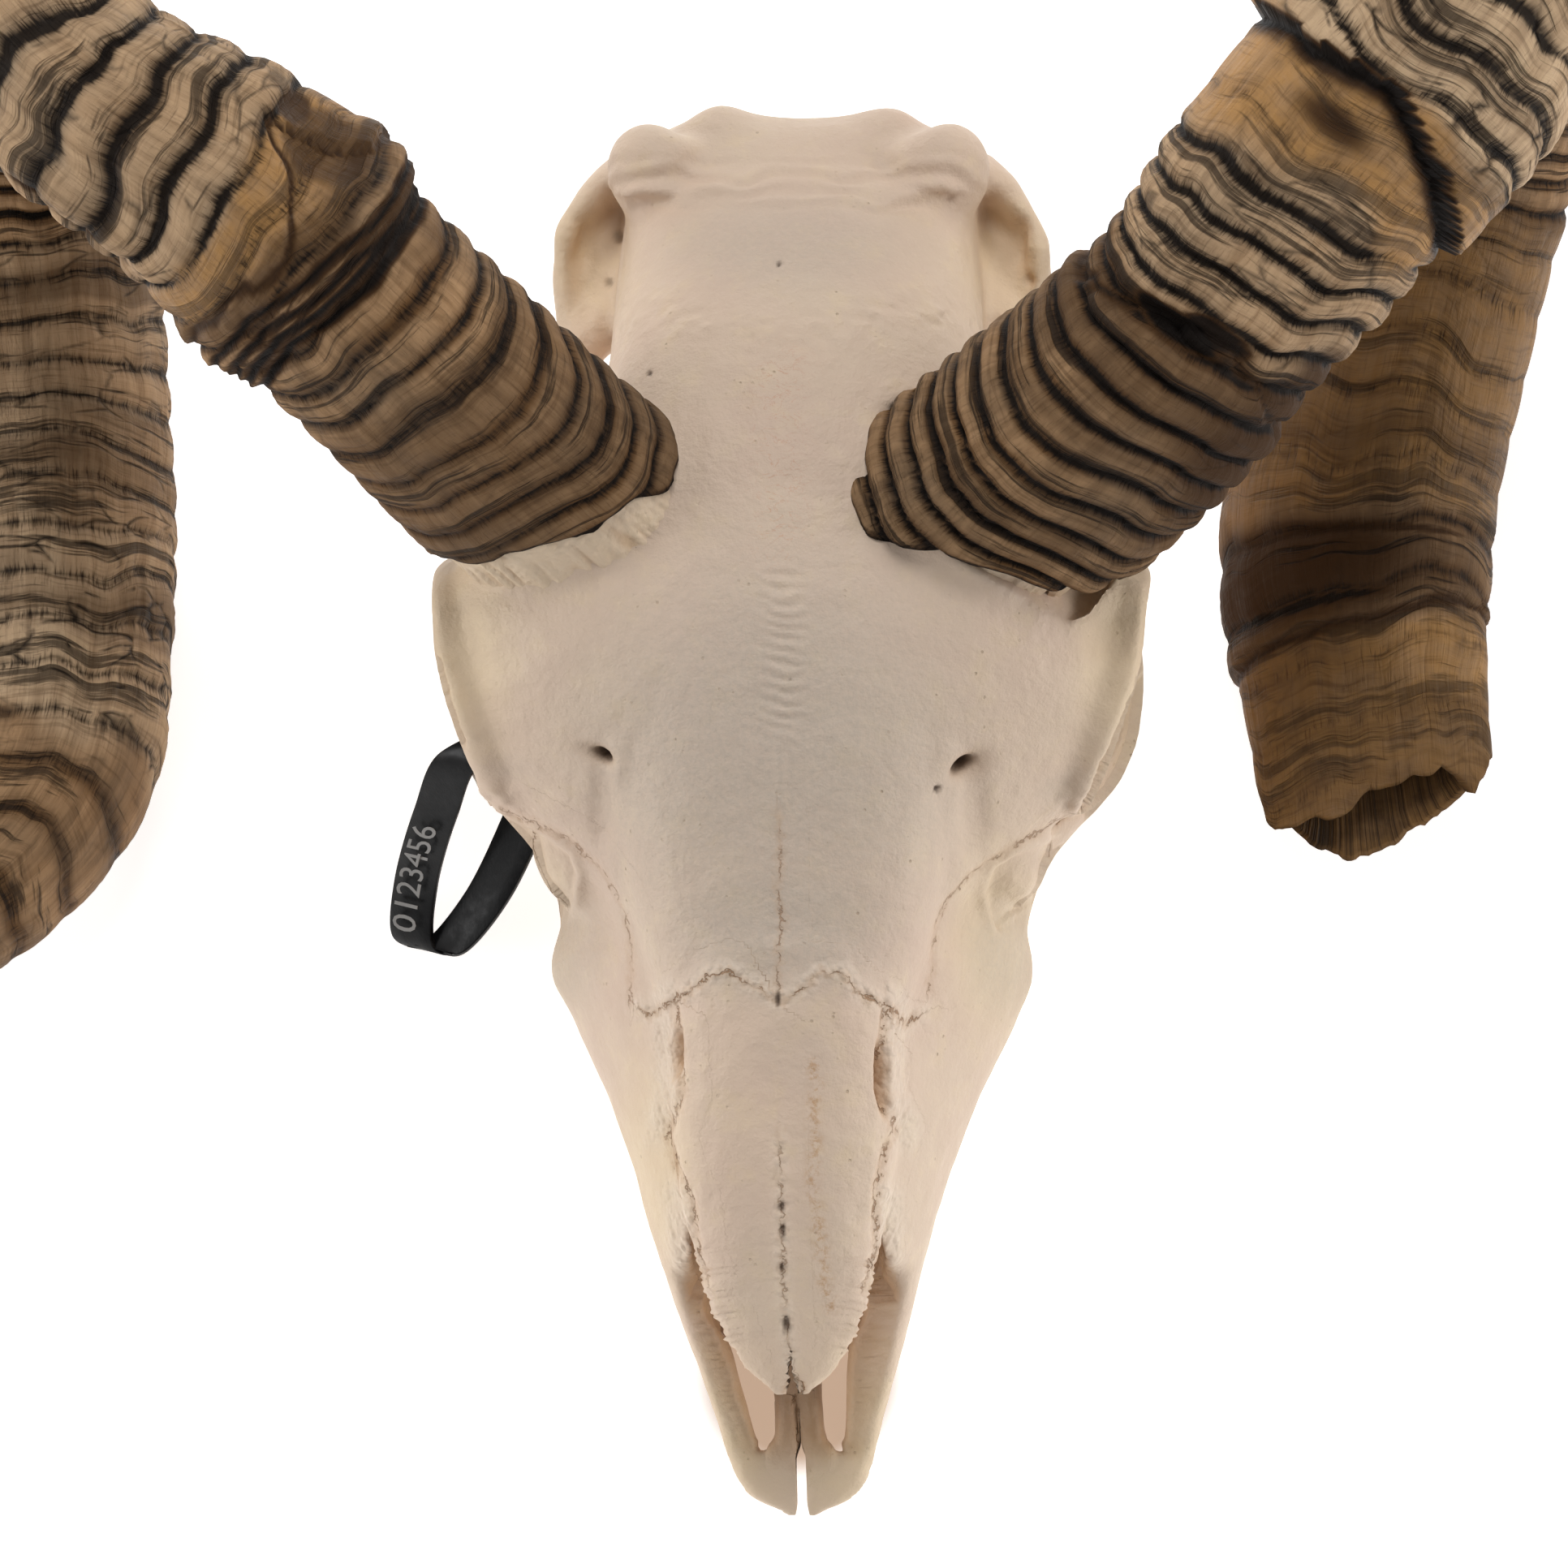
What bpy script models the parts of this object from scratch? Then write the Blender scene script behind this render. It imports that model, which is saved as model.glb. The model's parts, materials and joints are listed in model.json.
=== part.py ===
"""Ram skull with curled horns, lying on its cheek teeth and on the base of the braincase.

Metres, +Z up. The snout points to -Y, the animal's left side is +X, and the floor is Z = 0.
The skull is modelled whole from lofts, sweeps and ellipsoids, in millimetres from the middle
of its own floor line, then parted into its bones by thin saw cuts along the sutures.
At the end all pieces are moved so that the origin is the middle of the box, on the floor.
"""

import math

import bmesh
import bpy
import numpy as np
from mathutils import Vector

# General sizes, in millimetres unless said otherwise
MM = 0.001
SEAM = 0.3
SLIVER = 0.002
SEAT_GAP = 0.6
SHARP_ANGLE = 48.0
VOXEL = 1.3
SKIN_ROUNDS = 3
FINAL_ROUNDS = 4
SKULL_TRIANGLES = 5800
LOFT_SIDES = 32
LOFT_RINGS = 40
BASE_SIDES = 20
NOSE_SIDES = 24
NASAL_FLOOR_RINGS = 12
SWEEP_SIDES = 12
SWEEP_RINGS = 28
TIP_RINGS = 14
ORBIT_RIM_RINGS = 41
ELLIPSOID_SEGMENTS = 28
ELLIPSOID_RINGS = 18
UPRIGHT_LIMIT = 0.3
LEFT = 1
RIGHT = -1

# Braincase and frontals. Each row gives the place along the skull, the half breadth, the
# level of the widest point, the top, the underside, and how square the upper and the
# lower half of the section are (2 is an ellipse).
BRAINCASE = (
    (-96.0, 12.0, 62.0, 72.0, 50.0, 2.2, 2.0),
    (-80.0, 21.0, 66.0, 83.0, 48.0, 2.4, 2.0),
    (-62.0, 27.0, 72.0, 92.5, 44.0, 2.5, 2.0),
    (-40.0, 33.0, 76.0, 99.5, 42.0, 2.6, 2.0),
    (-15.0, 38.0, 80.0, 107.5, 42.0, 2.6, 2.0),
    (12.0, 42.0, 84.0, 113.5, 40.0, 2.5, 2.2),
    (38.0, 43.0, 82.0, 116.0, 36.0, 2.4, 2.2),
    (64.0, 39.5, 72.0, 109.0, 32.0, 2.4, 2.2),
    (88.0, 38.5, 62.0, 96.0, 28.0, 2.6, 2.3),
    (108.0, 37.0, 58.0, 85.5, 28.0, 3.0, 2.3),
    (121.0, 34.5, 56.0, 79.5, 30.0, 3.2, 2.3),
    (127.0, 29.0, 54.0, 73.0, 36.0, 2.8, 2.0),
)

# Plate of the frontals that roofs the orbits and reaches out to their rims
BROW = (
    (-46.0, 36.0, 66.0, 98.0, 54.0, 1.8, 2.0),
    (-34.0, 46.0, 64.0, 101.5, 52.0, 1.7, 2.0),
    (-22.0, 59.0, 70.0, 105.5, 58.0, 1.6, 2.0),
    (-8.0, 66.5, 82.0, 109.5, 70.0, 1.6, 2.4),
    (6.0, 71.0, 86.0, 112.5, 76.0, 1.6, 2.4),
    (18.0, 72.0, 85.0, 114.5, 74.0, 1.6, 2.4),
    (28.0, 67.0, 82.0, 115.0, 70.0, 1.6, 2.2),
    (38.0, 54.0, 80.0, 115.0, 68.0, 1.9, 2.0),
)

# Face, from the front edge of the maxillae to the rear of the tooth rows
FACE = (
    (-115.0, 25.8, 34.0, 64.0, 18.0, 1.8, 2.4),
    (-105.0, 29.4, 35.0, 72.0, 17.0, 1.7, 2.6),
    (-94.0, 32.4, 36.0, 79.0, 17.0, 1.6, 2.8),
    (-84.0, 36.0, 37.0, 84.0, 17.0, 1.5, 2.8),
    (-74.0, 40.0, 37.0, 88.5, 17.0, 1.45, 2.8),
    (-58.0, 47.5, 37.0, 94.0, 18.0, 1.45, 2.8),
    (-47.0, 49.0, 38.0, 97.0, 18.0, 1.5, 2.8),
    (-34.0, 46.0, 40.0, 99.5, 19.0, 1.6, 2.6),
    (-12.0, 38.0, 42.0, 96.0, 20.0, 1.8, 2.4),
    (2.0, 28.0, 42.0, 80.0, 24.0, 2.0, 2.2),
)

# Roof of the nose, which overhangs the nasal opening
NASAL_ROOF = (
    (-143.5, 3.6, 48.5, 51.5, 44.0, 2.0, 2.0),
    (-137.0, 10.5, 50.0, 57.0, 45.0, 2.2, 2.0),
    (-127.0, 15.8, 54.0, 64.5, 48.0, 2.3, 2.0),
    (-112.0, 19.4, 59.0, 73.5, 52.0, 2.4, 2.0),
    (-96.0, 22.6, 64.0, 81.5, 56.0, 2.5, 2.0),
    (-76.0, 23.6, 70.0, 89.5, 60.0, 2.6, 2.0),
    (-58.0, 23.0, 76.0, 95.5, 64.0, 2.6, 2.0),
)

# Cavity of the nose, which opens to the front and the sides
NASAL_CAVITY = (
    (-176.0, 12.6, 38.0, 44.0, 17.5, 2.2, 2.4),
    (-146.0, 12.4, 42.0, 48.5, 17.5, 2.2, 2.6),
    (-132.0, 16.0, 45.0, 58.0, 19.0, 2.3, 2.6),
    (-116.0, 19.6, 46.0, 67.0, 22.5, 2.2, 2.8),
    (-100.0, 20.5, 48.0, 73.5, 25.5, 2.0, 2.8),
    (-84.0, 17.0, 50.0, 77.0, 29.0, 2.0, 2.4),
    (-70.0, 7.0, 52.0, 64.0, 42.0, 2.0, 2.0),
)

# Base of the braincase and the bar of bone between the condyles
SKULL_BASE = (
    (-6.0, 10.0, 34.0, 46.0, 24.0, 2.0, 2.0),
    (20.0, 11.0, 36.0, 48.0, 27.0, 2.2, 2.2),
    (60.0, 12.0, 36.0, 50.0, 28.0, 2.2, 2.4),
    (98.0, 13.0, 32.0, 44.0, 23.0, 2.2, 2.6),
    (123.0, 16.0, 32.0, 40.0, 25.0, 2.2, 2.4),
)

# Floor of the nose between the tooth-bearing bone and the fissures
NASAL_FLOOR = (
    (-128.0, 14.0, 17.0, 19.5, 14.0, 2.4, 2.4),
    (-121.0, 18.5, 18.5, 22.0, 15.0, 2.4, 2.4),
    (-112.0, 22.0, 20.0, 24.0, 16.0, 2.4, 2.4),
    (-104.0, 24.0, 21.0, 25.0, 17.0, 2.4, 2.4),
)

# Sweeps of one side: each row gives a point and the half sizes across and along the height
TOOTH_RIDGE = (
    ((21.5, -93.0, 24.0), 5.0, 9.0),
    ((24.5, -72.0, 25.0), 7.0, 12.0),
    ((29.0, -48.0, 26.0), 8.5, 13.5),
    ((31.0, -24.0, 26.0), 8.5, 13.5),
    ((30.5, -6.0, 26.0), 6.5, 10.5),
)
PREMAXILLA_TIP = (
    ((2.6, -161.8, 11.6), 1.4, 1.4),
    ((4.9, -157.5, 12.2), 4.2, 2.6),
    ((7.2, -151.5, 13.0), 6.4, 3.2),
    ((8.0, -147.5, 13.3), 6.2, 3.2),
)
PREMAXILLA_RIM = (
    ((10.4, -152.0, 13.0), 3.4, 3.2),
    ((13.0, -147.5, 13.6), 2.9, 3.4),
    ((15.2, -140.5, 15.0), 2.4, 4.0),
    ((18.6, -131.0, 19.5), 2.2, 5.2),
    ((21.8, -121.0, 25.5), 2.3, 7.2),
    ((24.8, -110.0, 33.0), 2.8, 9.0),
    ((26.4, -101.0, 38.0), 2.8, 9.0),
)
PALATINE_PROCESS = (
    ((3.4, -152.0, 13.4), 2.8, 3.0),
    ((2.6, -143.0, 15.0), 2.1, 2.8),
    ((2.6, -126.0, 17.5), 2.1, 2.6),
    ((3.4, -108.0, 20.5), 2.6, 2.6),
)
LOWER_ORBIT_BAR = (
    ((42.0, -52.0, 37.0), 5.0, 7.0),
    ((44.0, -36.0, 41.0), 5.6, 8.0),
    ((50.5, -23.0, 45.0), 5.6, 7.5),
    ((64.5, -8.0, 44.5), 4.8, 5.4),
    ((69.0, 8.0, 45.0), 4.0, 5.0),
    ((68.0, 24.0, 46.5), 3.4, 4.6),
    ((64.0, 42.0, 48.5), 3.0, 4.6),
    ((57.5, 60.0, 50.0), 3.2, 4.8),
    ((50.0, 77.0, 51.0), 5.0, 6.5),
    ((42.0, 91.0, 52.0), 7.0, 8.0),
)
ORBIT_RIM = (
    ((57.8, -20.0, 64.0), 3.8, 4.6),
    ((60.5, -18.5, 76.0), 4.0, 4.2),
    ((66.0, -8.0, 86.0), 3.8, 3.6),
    ((69.8, 4.0, 88.6), 3.6, 3.4),
    ((70.4, 16.0, 87.6), 3.6, 3.6),
    ((70.0, 24.5, 76.0), 3.4, 4.4),
    ((69.0, 27.0, 62.0), 3.4, 4.4),
    ((68.0, 23.0, 49.0), 3.4, 3.8),
    ((67.5, 7.0, 44.0), 4.0, 3.6),
    ((62.0, -12.0, 48.5), 4.4, 4.0),
)
EAR_FLANGE = (
    ((36.0, 118.0, 64.0), 4.5, 9.0),
    ((44.0, 111.0, 62.0), 3.6, 9.0),
    ((49.5, 100.0, 57.0), 3.2, 8.0),
    ((49.5, 90.0, 53.0), 3.2, 6.5),
    ((46.0, 80.0, 51.0), 4.4, 6.0),
)
PAROCCIPITAL = (
    ((31.0, 110.0, 46.0), 5.0, 8.0),
    ((32.5, 110.0, 28.0), 3.6, 7.0),
    ((31.5, 109.0, 12.0), 3.0, 5.5),
    ((31.0, 108.0, -3.0), 2.6, 4.6),
)
PTERYGOID_PLATE = (
    ((12.0, -14.0, 30.0), 2.6, 7.0),
    ((12.5, 2.0, 29.0), 2.2, 9.0),
    ((13.0, 18.0, 32.0), 2.2, 8.0),
    ((12.0, 30.0, 36.0), 2.6, 5.0),
)

# Ellipsoids of one side: the middle and the half sizes
NUCHAL_LUMP = ((28.0, 111.0, 76.0), (11.5, 10.5, 10.0))
CONDYLE = ((15.5, 124.0, 34.0), (8.5, 10.0, 11.0))
BULLA = ((23.0, 86.0, 30.0), (8.0, 12.0, 12.0))
FACIAL_TUBER = ((44.5, -50.0, 37.0), (5.6, 9.0, 6.0))
MASTOID = ((40.0, 99.0, 47.0), (10.5, 16.0, 14.0))
LACRIMAL = ((41.0, -28.0, 58.0), (13.0, 15.0, 17.0))

# Hollows of one side, cut from the solid
ORBIT_HOLLOW = ((64.0, 3.0, 66.0), (38.0, 21.0, 19.0))
ORBIT_DEEP = ((46.0, 14.0, 62.0), (15.5, 22.0, 18.0))
TEMPORAL_FOSSA = ((55.0, 52.0, 60.0), (10.5, 23.0, 60.0))
EAR_HOLLOW = ((46.0, 100.0, 66.0), (3.4, 7.0, 8.0))
CHOANA = ((0.0, 6.0, 24.0), (9.0, 26.0, 13.0))
PALATE_HOLLOW = ((0.0, -50.0, 11.0), (18.0, 58.0, 14.0))
PALATINE_FISSURE = ((8.4, -137.0, 17.0), (3.9, 12.5, 14.0))
ORBIT_FLOOR = ((51.0, 5.0, 44.0), (8.5, 20.0, 15.0))
FORAMEN_MAGNUM = ((0.0, 131.0, 45.0), (9.5, 22.0, 8.5))

# Block behind an orbit's rim: how far it reaches in, in which steps, and how much it narrows
HOUSING_REACH = (-34.0, -4.0, 2.0)
HOUSING_STEPS = (0.0, 0.35, 0.7, 1.0)
HOUSING_TAPER = 0.12

# Cheek teeth of one side, front to back: crown length, breadth and number of lobes
CHEEK_TEETH = (
    (7.5, 7.0, 1),
    (9.0, 8.5, 1),
    (9.5, 10.5, 1),
    (13.5, 12.5, 2),
    (17.0, 13.5, 2),
    (19.5, 13.0, 2),
)
TOOTH_ROOT_Z = 20.0
TOOTH_SECTIONS = ((0.0, 0.9), (1.2, 1.0), (TOOTH_ROOT_Z, 0.88))
TOOTH_SQUARENESS = 0.75
LOBE_NOTCH_WIDTH = 0.3
TOOTH_GAP = 0.5
TOOTH_SIDES = 12
LOBE_NOTCH = 0.22
TOOTH_LINE_FRONT = (23.0, -88.0)
TOOTH_LINE_REAR = (31.5, -11.0)

# Horns: the route of the middle, then the half breadth and half thickness along it
HORN_BASE_WIDE = Vector((0.88, -0.20, -0.42))
LEFT_HORN = (
    ((41.0, 30.5, 99.5), 29.5, 22.0),
    ((79.0, 54.0, 138.0), 27.5, 22.5),
    ((113.0, 89.0, 166.0), 28.5, 23.0),
    ((143.0, 129.0, 162.0), 28.5, 23.0),
    ((153.0, 159.0, 110.0), 28.5, 23.5),
    ((138.0, 130.0, 54.0), 30.0, 24.0),
    ((118.5, 52.0, 34.0), 31.0, 24.0),
    ((122.5, -21.0, 37.0), 25.5, 21.0),
)
RIGHT_HORN = (
    ((46.0, 33.5, 101.5), 28.0, 21.5),
    ((73.0, 50.0, 138.0), 25.5, 21.5),
    ((105.0, 74.5, 163.0), 25.0, 21.5),
    ((140.0, 98.0, 169.0), 23.0, 20.5),
    ((161.0, 134.0, 150.0), 26.0, 22.5),
    ((170.0, 156.0, 106.0), 28.0, 23.5),
    ((168.5, 135.0, 58.0), 28.5, 23.5),
    ((163.0, 84.0, 35.0), 28.5, 23.5),
    ((158.5, 26.0, 33.0), 27.5, 22.5),
    ((162.0, -12.0, 35.0), 24.0, 20.5),
    ((183.0, -38.0, 41.0), 19.0, 16.5),
    ((217.0, -42.0, 54.0), 12.0, 10.5),
    ((246.0, -24.0, 74.0), 2.6, 2.6),
)
WORN_END_LINE = ((188.0, 11.5), (134.0, -66.0))
WORN_END_DEPTH = 60.0
WORN_END_TOP = 90.0
HORN_SIDES = 16
HORN_STEP = 6.5
HORN_SQUARENESS = 0.87
ROUTE_SAMPLES = 400
RING_PITCH = 13.0
RING_HEIGHT = 1.75
RING_FADE = 60.0

# Bony root of a horn: the shift along the horn and the share of the horn's section
CORE_SECTIONS = ((-46.0, 0.55), (-30.0, 0.8), (-12.0, 0.9), (4.0, 0.9))
CORE_SIDES = 24

# Strap tag: a closed band round the right orbit's lower bar
STRAP_WIDTH = 11.0
STRAP_THICKNESS = 1.4
STRAP_AXIS = Vector((-0.85, 0.30, -0.43))
STRAP_STATIONS = 40
STRAP_SEAT = 0.3
STRAP_ROUTE = (
    (54.0, -3.0, 58.0),
    (70.0, -8.5, 53.5),
    (77.0, -17.0, 38.0),
    (83.0, -28.0, 18.5),
    (84.0, -38.0, 8.8),
    (76.5, -39.5, 9.0),
    (66.0, -29.5, 18.0),
    (57.0, -15.5, 32.0),
    (52.0, -6.5, 45.0),
)

# Sutures, along which the skull is parted. Plan lines hold (x, y), side lines (y, z).
CROWN_SUTURE = (
    (-62.0, 58.0), (-36.0, 63.0), (-12.0, 65.5), (0.0, 64.5), (12.0, 65.5), (36.0, 63.0), (62.0, 58.0),
)
FOREHEAD_SUTURE = (
    (0.0, -72.0), (0.0, -34.0), (1.0, -20.0), (-0.8, -8.0), (0.9, 6.0),
    (-0.9, 20.0), (0.8, 34.0), (-0.8, 48.0), (0.0, 68.0),
)
SNOUT_SUTURE = ((0.0, -170.0), (0.0, -2.0))
BROW_SUTURE = (
    (0.0, -69.0), (11.0, -63.5), (22.0, -67.0), (29.0, -68.0), (31.0, -62.0),
    (32.5, -48.0), (40.0, -35.0), (50.0, -28.0), (66.0, -24.0),
)
NASAL_SUTURE = (
    (22.0, -64.0), (22.8, -80.0), (22.8, -94.0), (22.0, -106.0), (20.5, -114.0), (18.6, -126.0),
)
NASAL_UNDERSIDE = (
    (-60.0, 82.0), (-70.0, 80.0), (-88.0, 73.5), (-104.0, 63.0),
    (-112.0, 56.0), (-124.0, 48.0), (-134.0, 43.0),
)
CHEEK_SUTURE = (
    (62.0, -45.0), (50.0, -40.0), (43.0, -32.0), (39.0, -16.0),
    (44.0, -6.0), (50.0, 8.0), (54.0, 24.0), (60.0, 36.0),
)
FACE_REAR = ((-31.0, 62.0), (-31.0, 40.0), (-8.0, 38.0), (-9.0, -6.0))
PREMAXILLA_SUTURE = ((-94.0, 84.0), (-102.0, 62.0), (-108.0, 42.0), (-117.0, 27.0), (-120.0, 8.0))
OCCIPUT_SUTURE = (
    (-62.0, 126.0), (-46.0, 120.0), (-38.0, 112.0), (-30.0, 98.0), (0.0, 97.0),
    (30.0, 98.0), (38.0, 112.0), (46.0, 120.0), (62.0, 126.0),
)
ARCH_SUTURE = ((44.0, 58.0), (70.0, 58.0))

# How far the blades reach: levels along Z, and distances from the midline along X
ORBIT_LEVEL = 60.0
BLADE_LOW = -6.0
BLADE_HIGH = 132.0
ARCH_LOW = 36.0
FOREHEAD_LOW = 58.0
NASAL_LOW = 42.0
FACE_REAR_REACH = 43.0
NASAL_REACH = (-2.0, 26.0)
PREMAXILLA_REACH = 40.0
LEVEL_SLAB = ((-82.0, -69.4), (82.0, 66.0))
FLOOR_SLAB = ((-200.0, -200.0, -40.0), (200.0, 200.0, 0.0))

# A point near each bone of the left side, or of the middle, that tells the sawn parts apart
SEEDS = {
    "braincase_shell": (0.0, 80.0, 99.0),
    "occipital": (0.0, 127.0, 60.0),
    "frontals": (0.0, 0.0, 112.0),
    "frontal": (20.0, 0.0, 110.0),
    "face": (0.0, -90.0, 84.0),
    "half": (12.0, -90.0, 82.0),
    "nasal": (8.0, -90.0, 83.0),
    "jaw": (46.0, -60.0, 40.0),
    "premaxilla": (5.0, -157.0, 12.0),
    "zygomatic": (69.0, 8.0, 41.0),
}

# Colours, as red, green and blue
BONE = (0.78, 0.69, 0.57)
HORN = (0.28, 0.20, 0.12)
STRAP_BLACK = (0.012, 0.012, 0.013)
BONE_ROUGHNESS = 0.62
HORN_ROUGHNESS = 0.7
STRAP_ROUGHNESS = 0.5


def surface(name, colour, roughness):
    """Make the material of one piece."""
    material = bpy.data.materials.new(name)
    material.use_nodes = True
    shader = material.node_tree.nodes["Principled BSDF"]
    shader.inputs["Base Color"].default_value = (*colour, 1.0)
    shader.inputs["Roughness"].default_value = roughness
    shader.inputs["Metallic"].default_value = 0.0
    material.diffuse_color = (*colour, 1.0)
    return material


def smooth_rows(rows, places):
    """Read rows of numbers at fractional places on a smooth curve through them."""
    table = np.asarray(rows, dtype=float)
    last = len(table) - 1
    slope = np.gradient(table, axis=0)
    low = np.clip(np.floor(places).astype(int), 0, last - 1)
    part = (np.asarray(places, dtype=float) - low)[:, None]
    here, there = table[low], table[low + 1]
    rise_here, rise_there = slope[low], slope[low + 1]
    return (
        here * (2 * part**3 - 3 * part**2 + 1)
        + rise_here * (part**3 - 2 * part**2 + part)
        + there * (3 * part**2 - 2 * part**3)
        + rise_there * (part**3 - part**2)
    )


def power(value, exponent):
    """Raise the size of a sine or cosine, keeping its sign."""
    return math.copysign(abs(value) ** exponent, value)


def skin_over(name, rings):
    """Make a closed mesh object over rings of points that run round one another."""
    bm = bmesh.new()
    rows = [[bm.verts.new(Vector(point) * MM) for point in ring] for ring in rings]
    count = len(rows[0])
    for near, far in zip(rows, rows[1:]):
        for index in range(count):
            after = (index + 1) % count
            bm.faces.new((near[index], near[after], far[after], far[index]))
    bm.faces.new(rows[0])
    bm.faces.new(rows[-1])
    bmesh.ops.recalc_face_normals(bm, faces=bm.faces)
    return finished(name, bm)


def finished(name, bm):
    """Turn a bmesh into an object of the scene."""
    mesh = bpy.data.meshes.new(name)
    bm.to_mesh(mesh)
    bm.free()
    piece = bpy.data.objects.new(name, mesh)
    bpy.context.collection.objects.link(piece)
    return piece


def loft(name, stations, rings=LOFT_RINGS, sides=LOFT_SIDES):
    """Make a body from rounded sections that stand across the length of the skull."""
    places = np.linspace(0, len(stations) - 1, rings)
    outline = []
    for y, half, middle, top, base, upper, lower in smooth_rows(stations, places):
        ring = []
        for index in range(sides):
            turn = 2 * math.pi * (index + 0.5) / sides
            over = math.sin(turn) >= 0
            exponent = 2 / (upper if over else lower)
            reach = (top - middle) if over else (middle - base)
            x = half * power(math.cos(turn), exponent)
            z = middle + reach * power(math.sin(turn), exponent)
            ring.append((x, y, z))
        outline.append(ring)
    return skin_over(name, outline)


def sweep(name, route, side, closed=False, rings=SWEEP_RINGS):
    """Run an oval section along a route, its height kept as upright as the route allows."""
    rows = [(side * point[0], point[1], point[2], half, tall) for point, half, tall in route]
    if closed:
        rows = rows[-2:] + rows + rows[:3]
        places = np.linspace(2, len(rows) - 3, rings)[:-1]
    else:
        places = np.linspace(0, len(rows) - 1, rings)
    path = smooth_rows(rows, places)
    outline = []
    for index, row in enumerate(path):
        ahead = path[(index + 1) % len(path)] if closed else path[min(index + 1, len(path) - 1)]
        behind = path[index - 1] if closed or index else path[0]
        along = Vector(ahead[:3] - behind[:3]).normalized()
        outward = Vector((side, 0.0, 0.0)) if closed else Vector((0.0, 0.0, 1.0))
        across = along.cross(outward)
        if across.length < UPRIGHT_LIMIT:
            across = along.cross(Vector((0.0, 1.0, 0.0)))
        across.normalize()
        upright = across.cross(along).normalized()
        middle = Vector(row[:3])
        ring = []
        for step in range(SWEEP_SIDES):
            turn = 2 * math.pi * step / SWEEP_SIDES
            ring.append(middle + across * (row[3] * math.cos(turn)) + upright * (row[4] * math.sin(turn)))
        outline.append(ring)
    if not closed:
        return skin_over(name, outline)
    bm = bmesh.new()
    loops = [[bm.verts.new(point * MM) for point in ring] for ring in outline]
    for index, near in enumerate(loops):
        far = loops[(index + 1) % len(loops)]
        for step in range(SWEEP_SIDES):
            after = (step + 1) % SWEEP_SIDES
            bm.faces.new((near[step], near[after], far[after], far[step]))
    bmesh.ops.recalc_face_normals(bm, faces=bm.faces)
    return finished(name, bm)


def ellipsoid(name, shape, side=LEFT):
    """Make an ellipsoid from its middle and its three half sizes."""
    middle, half = shape
    bm = bmesh.new()
    bmesh.ops.create_uvsphere(bm, u_segments=ELLIPSOID_SEGMENTS, v_segments=ELLIPSOID_RINGS, radius=MM)
    bmesh.ops.scale(bm, vec=half, verts=bm.verts)
    place = Vector((side * middle[0], middle[1], middle[2])) * MM
    bmesh.ops.translate(bm, vec=place, verts=bm.verts)
    return finished(name, bm)


def box(name, low, high):
    """Make a box between two corners."""
    bm = bmesh.new()
    bmesh.ops.create_cube(bm, size=1.0)
    low, high = Vector(low), Vector(high)
    bmesh.ops.scale(bm, vec=(high - low) * MM, verts=bm.verts)
    bmesh.ops.translate(bm, vec=(high + low) * 0.5 * MM, verts=bm.verts)
    return finished(name, bm)


def saw(name, line, low, high, across="Z", kerf=SEAM):
    """Make a thin closed blade along a line, reaching from low to high on one axis.

    The line's points are (x, y) where the blade runs along Z, and (y, z) where it runs
    along X.
    """
    points = [Vector(point) for point in line]
    edges = []
    for index, point in enumerate(points):
        ahead = points[min(index + 1, len(points) - 1)]
        behind = points[max(index - 1, 0)]
        along = (ahead - behind).normalized()
        normal = Vector((-along.y, along.x)) * kerf * 0.5
        edges.append((point + normal, point - normal))
    rings = []
    for one, other in edges:
        if across == "Z":
            ring = [(p.x, p.y, z) for p, z in ((one, low), (one, high), (other, high), (other, low))]
        else:
            ring = [(x, p.x, p.y) for p, x in ((one, low), (one, high), (other, high), (other, low))]
        rings.append(ring)
    return skin_over(name, rings)


def discard(pieces):
    """Remove objects that were only tools for the shape."""
    for piece in pieces:
        bpy.data.objects.remove(piece)


def applied(piece):
    """Replace an object's mesh by the one that its modifiers give."""
    bpy.context.view_layer.update()
    graph = bpy.context.evaluated_depsgraph_get()
    mesh = bpy.data.meshes.new_from_object(piece.evaluated_get(graph))
    piece.modifiers.clear()
    piece.data = mesh
    return piece


def gathered(name, pieces):
    """Put the meshes of several objects into one, without joining their surfaces."""
    bm = bmesh.new()
    for piece in pieces:
        bm.from_mesh(piece.data)
    discard(pieces)
    return finished(name, bm)


def carved(piece, tool, operation="DIFFERENCE", solver="EXACT"):
    """Cut a piece by a tool, or join the tool to it, and discard the tool."""
    change = piece.modifiers.new("carve", "BOOLEAN")
    change.operation = operation
    change.solver = solver
    change.object = tool
    applied(piece)
    discard([tool])
    return piece


def soft_union(piece, voxel, rounds):
    """Flow the overlapping shells of a piece into one smooth skin."""
    remesh = piece.modifiers.new("skin", "REMESH")
    remesh.mode = "VOXEL"
    remesh.voxel_size = voxel * MM
    relax = piece.modifiers.new("relax", "SMOOTH")
    relax.factor = 0.5
    relax.iterations = rounds
    return applied(piece)


def thinned(piece, triangles):
    """Reduce a piece to about a number of triangles."""
    count = sum(len(face.vertices) - 2 for face in piece.data.polygons)
    reduce = piece.modifiers.new("reduce", "DECIMATE")
    reduce.ratio = min(1.0, triangles / count)
    return applied(piece)


def drop_folded_faces(bm):
    """Remove each pair of faces that lie back to back on the same corners."""
    seen = {}
    folded = []
    for face in bm.faces:
        corners = frozenset(face.verts)
        if corners in seen:
            folded.extend((face, seen.pop(corners)))
        else:
            seen[corners] = face
    bmesh.ops.delete(bm, geom=folded, context="FACES")


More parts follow.
